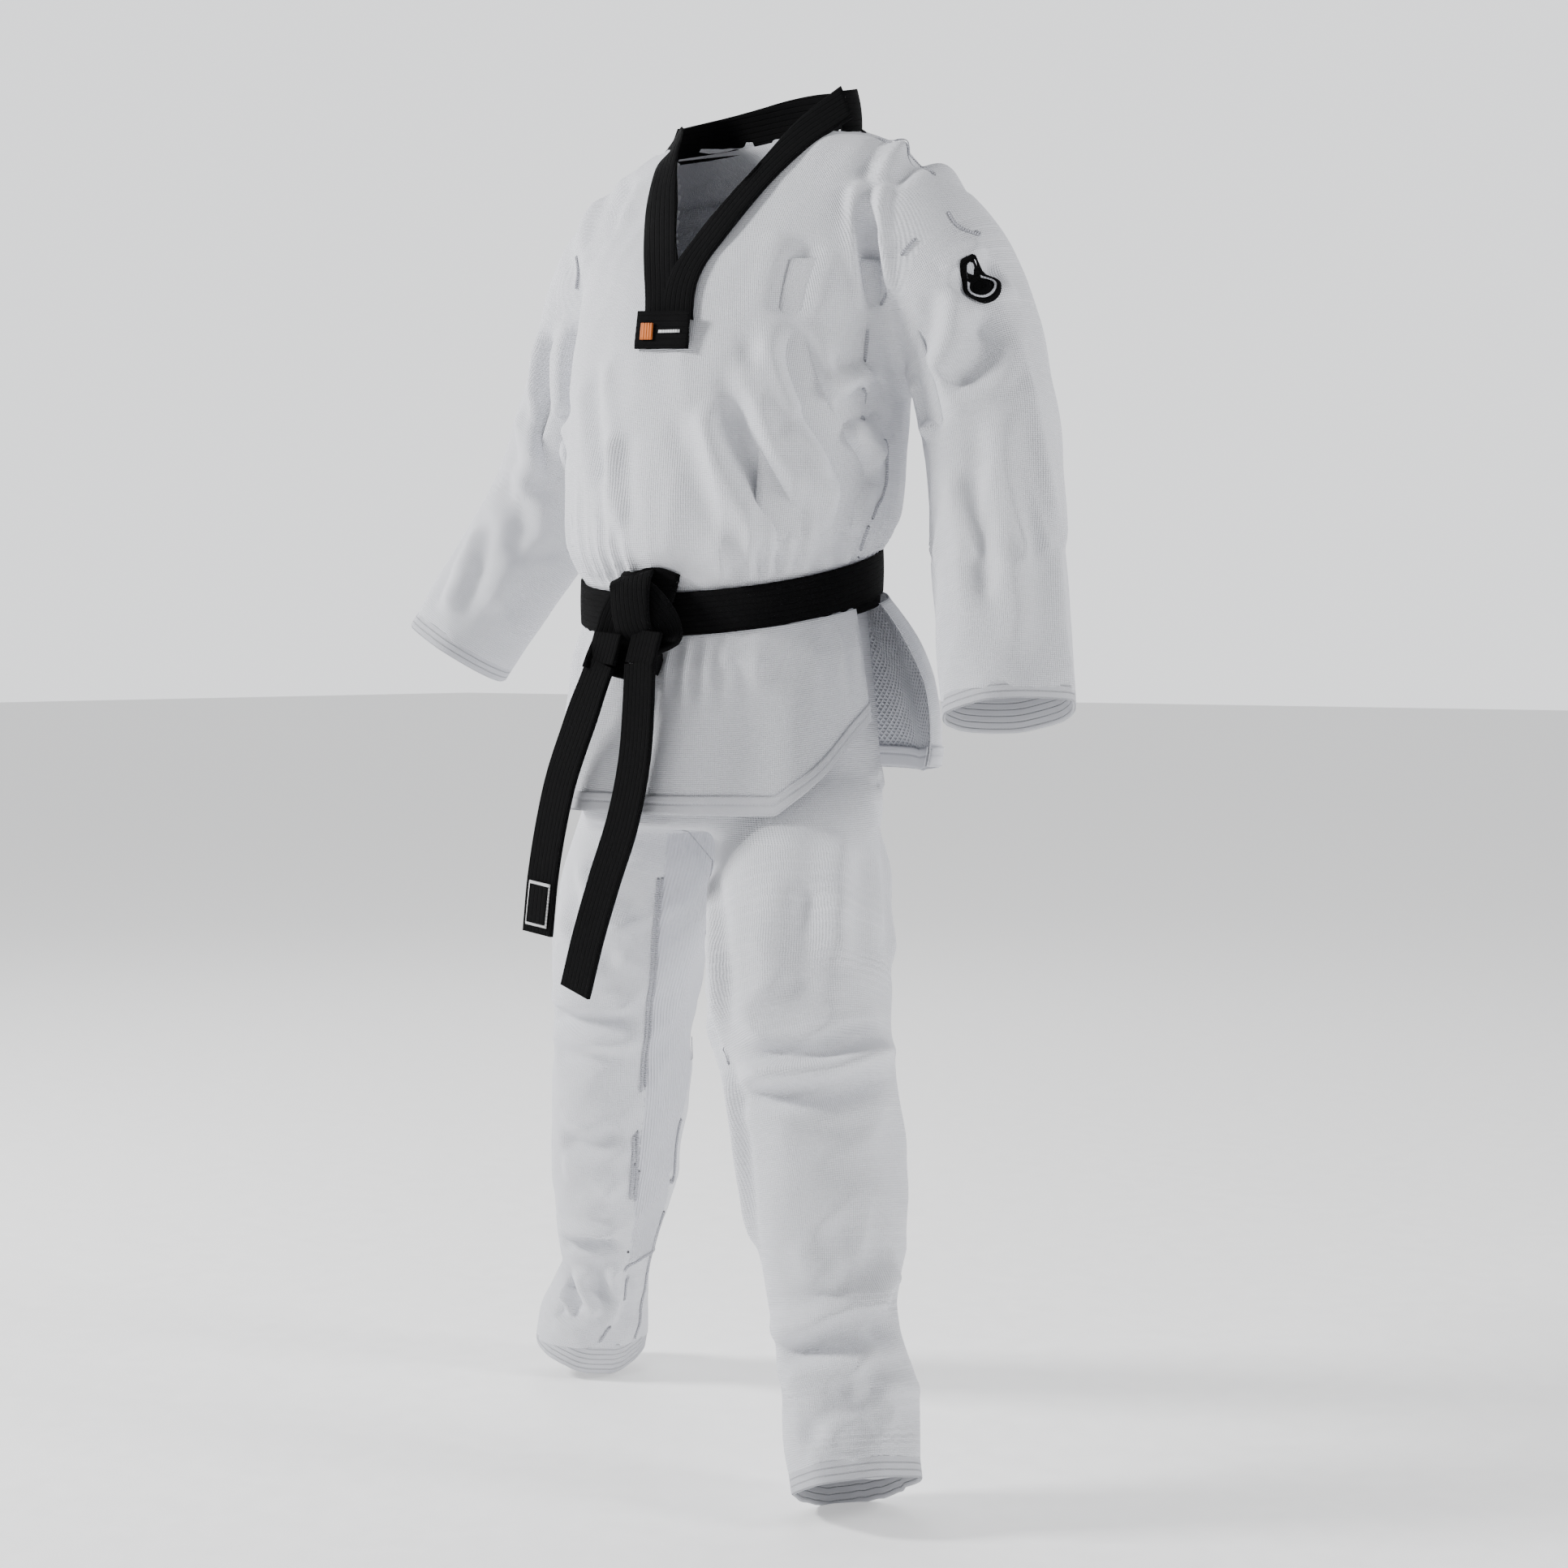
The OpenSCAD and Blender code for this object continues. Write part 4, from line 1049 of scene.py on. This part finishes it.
def collar_strip(side, lift):
    outer, inner = (resample(edge, 0.002) for edge in COLLAR[side])
    t = np.linspace(0, 1, 60)
    outer, inner = (
        np.stack([np.interp(t, np.linspace(0, 1, len(edge)), edge[:, k]) for k in range(3)], -1)
        for edge in (outer, inner)
    )
    rows = []
    for share in np.linspace(0, 1, 13):
        row = outer + (inner - outer) * share
        for n, q in enumerate(row):
            free = float(smoothstep(0.62, 0.86, t[n]))
            place, _, _, _ = chest.find_nearest(Vector(q))
            if place is not None:
                row[n] = q * free + np.array(place) * (1 - free)
        rows.append(row)
    grid = np.array(rows)
    for _ in range(16):
        grid[:, 1:-1] = (grid[:, :-2] + grid[:, 1:-1] * 2 + grid[:, 2:]) / 4
    for _ in range(5):
        grid[1:-1, 1:-1] = (
            grid[1:-1, 1:-1] * 2 + grid[:-2, 1:-1] + grid[2:, 1:-1] + grid[1:-1, :-2] + grid[1:-1, 2:]
        ) / 6
    n = unit(np.cross(np.gradient(grid, axis=1), np.gradient(grid, axis=0)))
    outward = grid - np.array([0.0, 0.06, 0.40])
    n = np.where((n * outward).sum(-1, keepdims=True) < 0, -n, n)
    puff = 1 - np.abs(np.linspace(-1, 1, 13)) ** 6
    return grid + n * (lift + 0.0012 * puff[:, None, None])


for side, lift in (("right", 0.0026), ("left", 0.0058)):
    obj = sheet_grid("collar_" + side, collar_strip(side, lift), BLACK, 0.003)
    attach(obj, "jacket")
    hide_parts("collar_" + side + "_band")

turns = np.radians(np.linspace(-14, 194, 90))
low = np.interp(np.degrees(turns), [-14, 8, 90, 172, 194], [0.466, 0.475, 0.488, 0.468, 0.462])
high = np.interp(np.degrees(turns), [-14, 8, 90, 172, 194], [0.515, 0.523, 0.538, 0.509, 0.501])
low, high = (np.convolve(np.pad(e, 8, "edge"), np.ones(17) / 17, "valid") for e in (low, high))
stand = np.stack([
    np.stack([
        (0.122 - 0.009 * t + 0.002 * math.sin(math.pi * t)) * np.cos(turns),
        (0.056 + 0.004 * t) + (0.069 - 0.004 * t + 0.002 * math.sin(math.pi * t)) * np.sin(turns),
        low + (high - low) * t,
    ], -1)
    for t in np.linspace(0, 1, 12)
])
obj = sheet_grid("collar_back", stand, BLACK, 0.003)
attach(obj, "jacket")
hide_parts("collar_back_band")


# Facing inside the back of the neck, below the band
turns, low = turns[6:-6, None], low[6:-6]
top = np.stack([0.1175 * np.cos(turns[:, 0]), 0.056 + 0.0645 * np.sin(turns[:, 0]), low + 0.006], -1)
bottom = jacket(low - 0.050, turns[:, 0], -0.006)
rows = np.array([bottom + (top - bottom) * t for t in np.linspace(0, 1, 8)])
facing = sheet_grid("neck_facing", rows, WHITE, 0.001)
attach(facing, "jacket")


def chest_patch(name, corners, material, lift, thickness, nodes=(), cells=(16, 10)):
    """A sewn patch on the chest between four (x, z) corners: low left, low right, high right, high left"""
    a, b, c, d = (np.array(corner) for corner in corners)
    rows = []
    for t in np.linspace(0, 1, cells[1]):
        low, high = a + (d - a) * t, b + (c - b) * t
        row = []
        for s in np.linspace(0, 1, cells[0]):
            x, z = low + (high - low) * s
            hit = chest.ray_cast(Vector((x, -0.4, z)), Vector((0, 1, 0)), 0.5)
            row.append((x, hit[0][1] if hit[0] else -0.12, z))
        rows.append(row)
    grid = np.array(rows)
    grid[..., 1] = grid[..., 1].mean() * 0.6 + grid[..., 1] * 0.4 - lift
    obj = sheet_grid(name, grid, material, thickness)
    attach(obj, "jacket")
    if nodes:
        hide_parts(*nodes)
    return obj


chest_patch(
    "collar_patch_base", [(-0.0188, 0.2433), (0.0511, 0.2390), (0.0506, 0.2774), (-0.0187, 0.2823)],
    BLACK, 0.0085, 0.002, ["collar_patch"],
)
chest_patch(
    "collar_patch_mark", [(-0.010, 0.252), (0.006, 0.251), (0.006, 0.268), (-0.010, 0.269)],
    ORANGE, 0.0098, 0.0008, (), (6, 5),
)
chest_patch(
    "collar_patch_bar", [(0.013, 0.2575), (0.041, 0.2560), (0.041, 0.2590), (0.013, 0.2605)],
    LINEN, 0.0098, 0.0008, (), (6, 3),
)

# ---------------------------------------------------------------- belt
def wrap_grid(low, high, off, wobble, phase):
    turns = np.linspace(0, 2 * math.pi, 160, endpoint=False)
    rows = []
    for t in np.linspace(0, 1, 9):
        level = low + (high - low) * t
        base = jacket(0.0, turns, off + 0.0006 * math.sin(math.pi * t))
        y = base[:, 1]
        shift = wobble * np.sin(turns * 2 + phase)
        rows.append(np.stack([base[:, 0], y, level + shift + RISE * y], -1))
    return np.array(rows)


for name, node, grid in (
    ("belt_inner", "belt_inner_wrap", wrap_grid(-0.030, 0.014, 0.0036, 0.0035, 2.4)),
    ("belt_outer", "belt_outer_wrap", wrap_grid(-0.019, 0.0255, 0.0072, 0.0015, 0.6)),
):
    obj = sheet_grid(name, grid, BLACK_BELT, 0.003, closed=True)
    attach(obj, "jacket")
    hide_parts(node)


def strap(name, line, side, half, thickness, body, nodes=(), material=BLACK_BELT, bow=0.0):
    """A flat strap along a line, its width near the side direction"""
    path = resample(line, 0.005)
    _, across, out = frames(path, np.asarray(side, float))
    halves = np.interp(np.linspace(0, 1, len(path)), np.linspace(0, 1, len(half)), half)
    grid = np.array([
        path + across * (share * halves)[:, None] + out * (bow * (1 - share**2))
        for share in np.linspace(-1, 1, 11)
    ])
    obj = sheet_grid(name, grid, material, thickness, offset=0.0)
    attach(obj, body)
    if nodes:
        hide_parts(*nodes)
    return obj


# Knot: the belt's end comes up behind both wraps, crosses over and leaves as the two tails
KNOT_THICKNESS = 0.0042
TAIL_SIDE = (0.97, -0.10, 0.16)
TAIL_HALVES = [0.0215, 0.0225, 0.0222]
strap(
    "belt_knot_over",
    [(-0.034, -0.141, -0.018), (-0.020, -0.151, -0.006), (0.004, -0.157, -0.012),
     (0.026, -0.156, -0.030), (0.034, -0.150, -0.058), (0.030, -0.158, -0.088)],
    (0.35, 0, 1), [0.014, 0.021, 0.024, 0.024, 0.022, 0.022], KNOT_THICKNESS, "jacket", ["belt_knot"],
    bow=0.003,
)
strap(
    "belt_knot_under",
    [(0.042, -0.140, -0.004), (0.022, -0.148, 0.000), (-0.006, -0.153, -0.012),
     (-0.026, -0.152, -0.034), (-0.032, -0.154, -0.060), (-0.034, -0.166, -0.088)],
    (-0.5, 0, 1), [0.016, 0.020, 0.023, 0.023, 0.022, 0.022], KNOT_THICKNESS, "jacket", bow=0.003,
)
strap(
    "belt_knot_loop",
    [(-0.012, -0.138, 0.012), (0.000, -0.160, 0.004), (0.004, -0.166, -0.020),
     (0.006, -0.162, -0.046), (0.004, -0.142, -0.060)],
    (1, 0, 0.15), [0.022, 0.026, 0.024, 0.022, 0.018], KNOT_THICKNESS, "jacket", bow=0.002,
)
# The roots stay with the jacket, and each tail turns just below its root
for name, line in (
    ("belt_root_left", [(0.026, -0.164, -0.046), (0.024, -0.168, -0.062), (0.022, -0.172, -0.079)]),
    ("belt_root_right", [(-0.027, -0.164, -0.048), (-0.029, -0.168, -0.064), (-0.031, -0.172, -0.079)]),
):
    strap(name, line, TAIL_SIDE, TAIL_HALVES[:1] * 2, 0.0040, "jacket")
strap(
    "belt_tail_left",
    [(0.022, -0.172, -0.078), (0.024, -0.177, -0.120), (0.022, -0.180, -0.170), (0.008, -0.184, -0.240),
     (-0.014, -0.187, -0.300), (-0.034, -0.190, -0.360), (-0.050, -0.192, -0.416)],
    TAIL_SIDE, TAIL_HALVES, KNOT_THICKNESS, "left_tail", ["belt_left_tail"],
)
strap(
    "belt_tail_right",
    [(-0.031, -0.172, -0.078), (-0.042, -0.177, -0.110), (-0.060, -0.178, -0.150), (-0.080, -0.180, -0.200),
     (-0.092, -0.183, -0.250), (-0.100, -0.186, -0.300), (-0.106, -0.188, -0.360)],
    TAIL_SIDE, TAIL_HALVES, KNOT_THICKNESS, "right_tail", ["belt_right_tail"],
)
patch = strap(
    "tail_patch_frame", [(-0.1012, -0.1895, -0.306), (-0.1036, -0.1905, -0.330), (-0.1056, -0.1915, -0.352)],
    TAIL_SIDE, [0.0165, 0.0165], 0.0010, "right_tail", ["belt_tail_patch"], material=LINEN,
)
strap(
    "tail_patch_field", [(-0.1014, -0.1905, -0.309), (-0.1036, -0.1915, -0.330), (-0.1054, -0.1925, -0.349)],
    TAIL_SIDE, [0.0145, 0.0145], 0.0010, "right_tail", material=BLACK,
)

# ---------------------------------------------------------------- small parts
place, out, _, _ = chest.find_nearest(Vector((0.305, 0.020, 0.302)))
place, out = np.array(place), np.array(out)
first = unit(np.cross(out, (0.0, 0.0, 1.0)))
second = np.cross(out, first)
turns = np.linspace(0, 2 * math.pi, 40, endpoint=False)
for name, near, far, material, lift in (
    ("shoulder_badge_disc", 0.0005, 0.019, BLACK, 0.0020),
    ("shoulder_badge_ring", 0.0125, 0.0145, THREAD, 0.0030),
):
    rows = []
    for radius in np.linspace(near, far, 6):
        ring = place + radius * (np.cos(turns)[:, None] * first + np.sin(turns)[:, None] * second)
        hits = [chest.ray_cast(Vector(q + out * 0.03), Vector(-out), 0.06)[0] for q in ring]
        rows.append([(q if hit is None else np.array(hit)) + out * lift for q, hit in zip(ring, hits)])
    badge = sheet_grid(name, np.array(rows), material, 0.0008, closed=True)
    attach(badge, "jacket")
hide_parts("shoulder_badge")

turns = np.linspace(0, 2 * math.pi, 120, endpoint=False)
ring = np.stack([0.154 * np.cos(turns), 0.115 * np.sin(turns), RISE * 0.115 * np.sin(turns)], -1)
pucker = 0.0008 * np.sin(turns * 40)[:, None] * unit(ring * (1, 1, 0))
rows = np.array([ring + pucker + (0, 0, level) for level in np.linspace(-0.010, 0.012, 6)])
elastic = sheet_grid("waist_elastic_band", rows, ELASTIC, 0.0012, closed=True)
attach(elastic, "jacket")
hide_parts("waist_elastic")
turns = np.linspace(0, 2 * math.pi, 32, endpoint=False)
for side, x in (("left", 0.018), ("right", -0.018)):
    rows = []
    for a in np.linspace(0, 2 * math.pi, 13):
        radius = 0.0046 + 0.0013 * math.cos(a)
        y = np.full(32, -0.1206 - 0.0008 * math.sin(a))
        rows.append(np.stack([x + radius * np.cos(turns), y, -0.027 + radius * np.sin(turns)], -1))
    eyelet = sheet_grid("waistband_eyelet_" + side, np.array(rows), STEEL, 0.0, closed=True)
    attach(eyelet, "jacket")
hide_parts("waistband_eyelets")

# ---------------------------------------------------------------- skirts
def hem_level(length, cut, angle):
    return -length + cut * np.maximum(0, 1 - angle / math.radians(40))


def pleat(phase):
    """Soft ridges, sharper on top than in the hollows"""
    return 0.6 - np.sqrt(np.sin(phase) ** 2 + 0.05)


def skirt_grid(front, levels_of, off, angles):
    widths, depths = (front_width, front_depth) if front else (back_width, back_depth)
    rows = []
    for t in np.linspace(0, 1, 44):
        level = levels_of(t)
        drop = np.clip(-level / 0.25, 0, 1)
        under_belt = np.exp(-(((drop - 0.26) / 0.13) ** 2))
        swing = np.sin(math.pi * np.clip(drop / 0.95, 0, 1) ** 0.75)
        if front:
            wave = (
                0.0055 * np.sin(angles * 9.0 + 0.7) * smoothstep(0.15, 0.6, drop)
                + 0.006 * pleat(angles * 17.0 + 2.1 * np.sin(angles * 5.0)) * under_belt
            )
        else:
            wave = (
                0.007 * np.sin(angles * 7.0 + 0.4) * smoothstep(0.1, 0.7, drop)
                + 0.006 * pleat(angles * 16.0 + 1.9 * np.sin(angles * 4.0)) * under_belt
                + 0.038 * np.exp(-((angles - angles[0]) / 0.42) ** 2) * swing
                + 0.030 * np.exp(-((angles - angles[-1]) / 0.42) ** 2) * swing
            )
        rows.append(oval(widths, depths, middle, level, angles, off + wave))
    return np.array(rows)


def skirt(name, front, length, cut, span, body, panel_node, facing_node):
    angles = np.radians(np.linspace(*span, 200))
    edge = np.minimum(angles - angles[0], angles[-1] - angles)
    hem = hem_level(length, cut, edge)
    top = -0.020

    def levels(t):
        return top + (hem - top) * t

    grid = skirt_grid(front, levels, 0.0, angles)
    obj = sheet_grid(name, grid, WHITE, 0.0016, offset=0.0)
    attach(obj, body)
    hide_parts(panel_node)
    inner = skirt_grid(front, levels, -0.0022, angles)
    lining = sheet_grid(name + "_lining", inner, MESH, 0.0, offset=0.0)
    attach(lining, body)
    rim_grid = skirt_grid(front, lambda t: hem + 0.020 * (1 - t), 0.0016, angles)[::5]
    rim_in = skirt_grid(front, lambda t: hem - 0.0006 + 0.0206 * (1 - t), -0.0042, angles)[::5]
    rim = sheet_grid(name + "_hem", rim_grid, FACING, 0.0012)
    rim_inner = sheet_grid(name + "_hem_inside", rim_in, FACING, 0.0012)
    for part in (rim, rim_inner):
        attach(part, body)
    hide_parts(facing_node)
    return obj


skirt(
    "front_skirt_cloth", True, 0.232, 0.095, (183, 357), "front_skirt", "front_skirt_panel",
    "front_hem_facing",
)
skirt(
    "back_skirt_cloth", False, 0.196, 0.012, (5, 175), "back_skirt", "back_skirt_panel",
    "back_hem_facing",
)
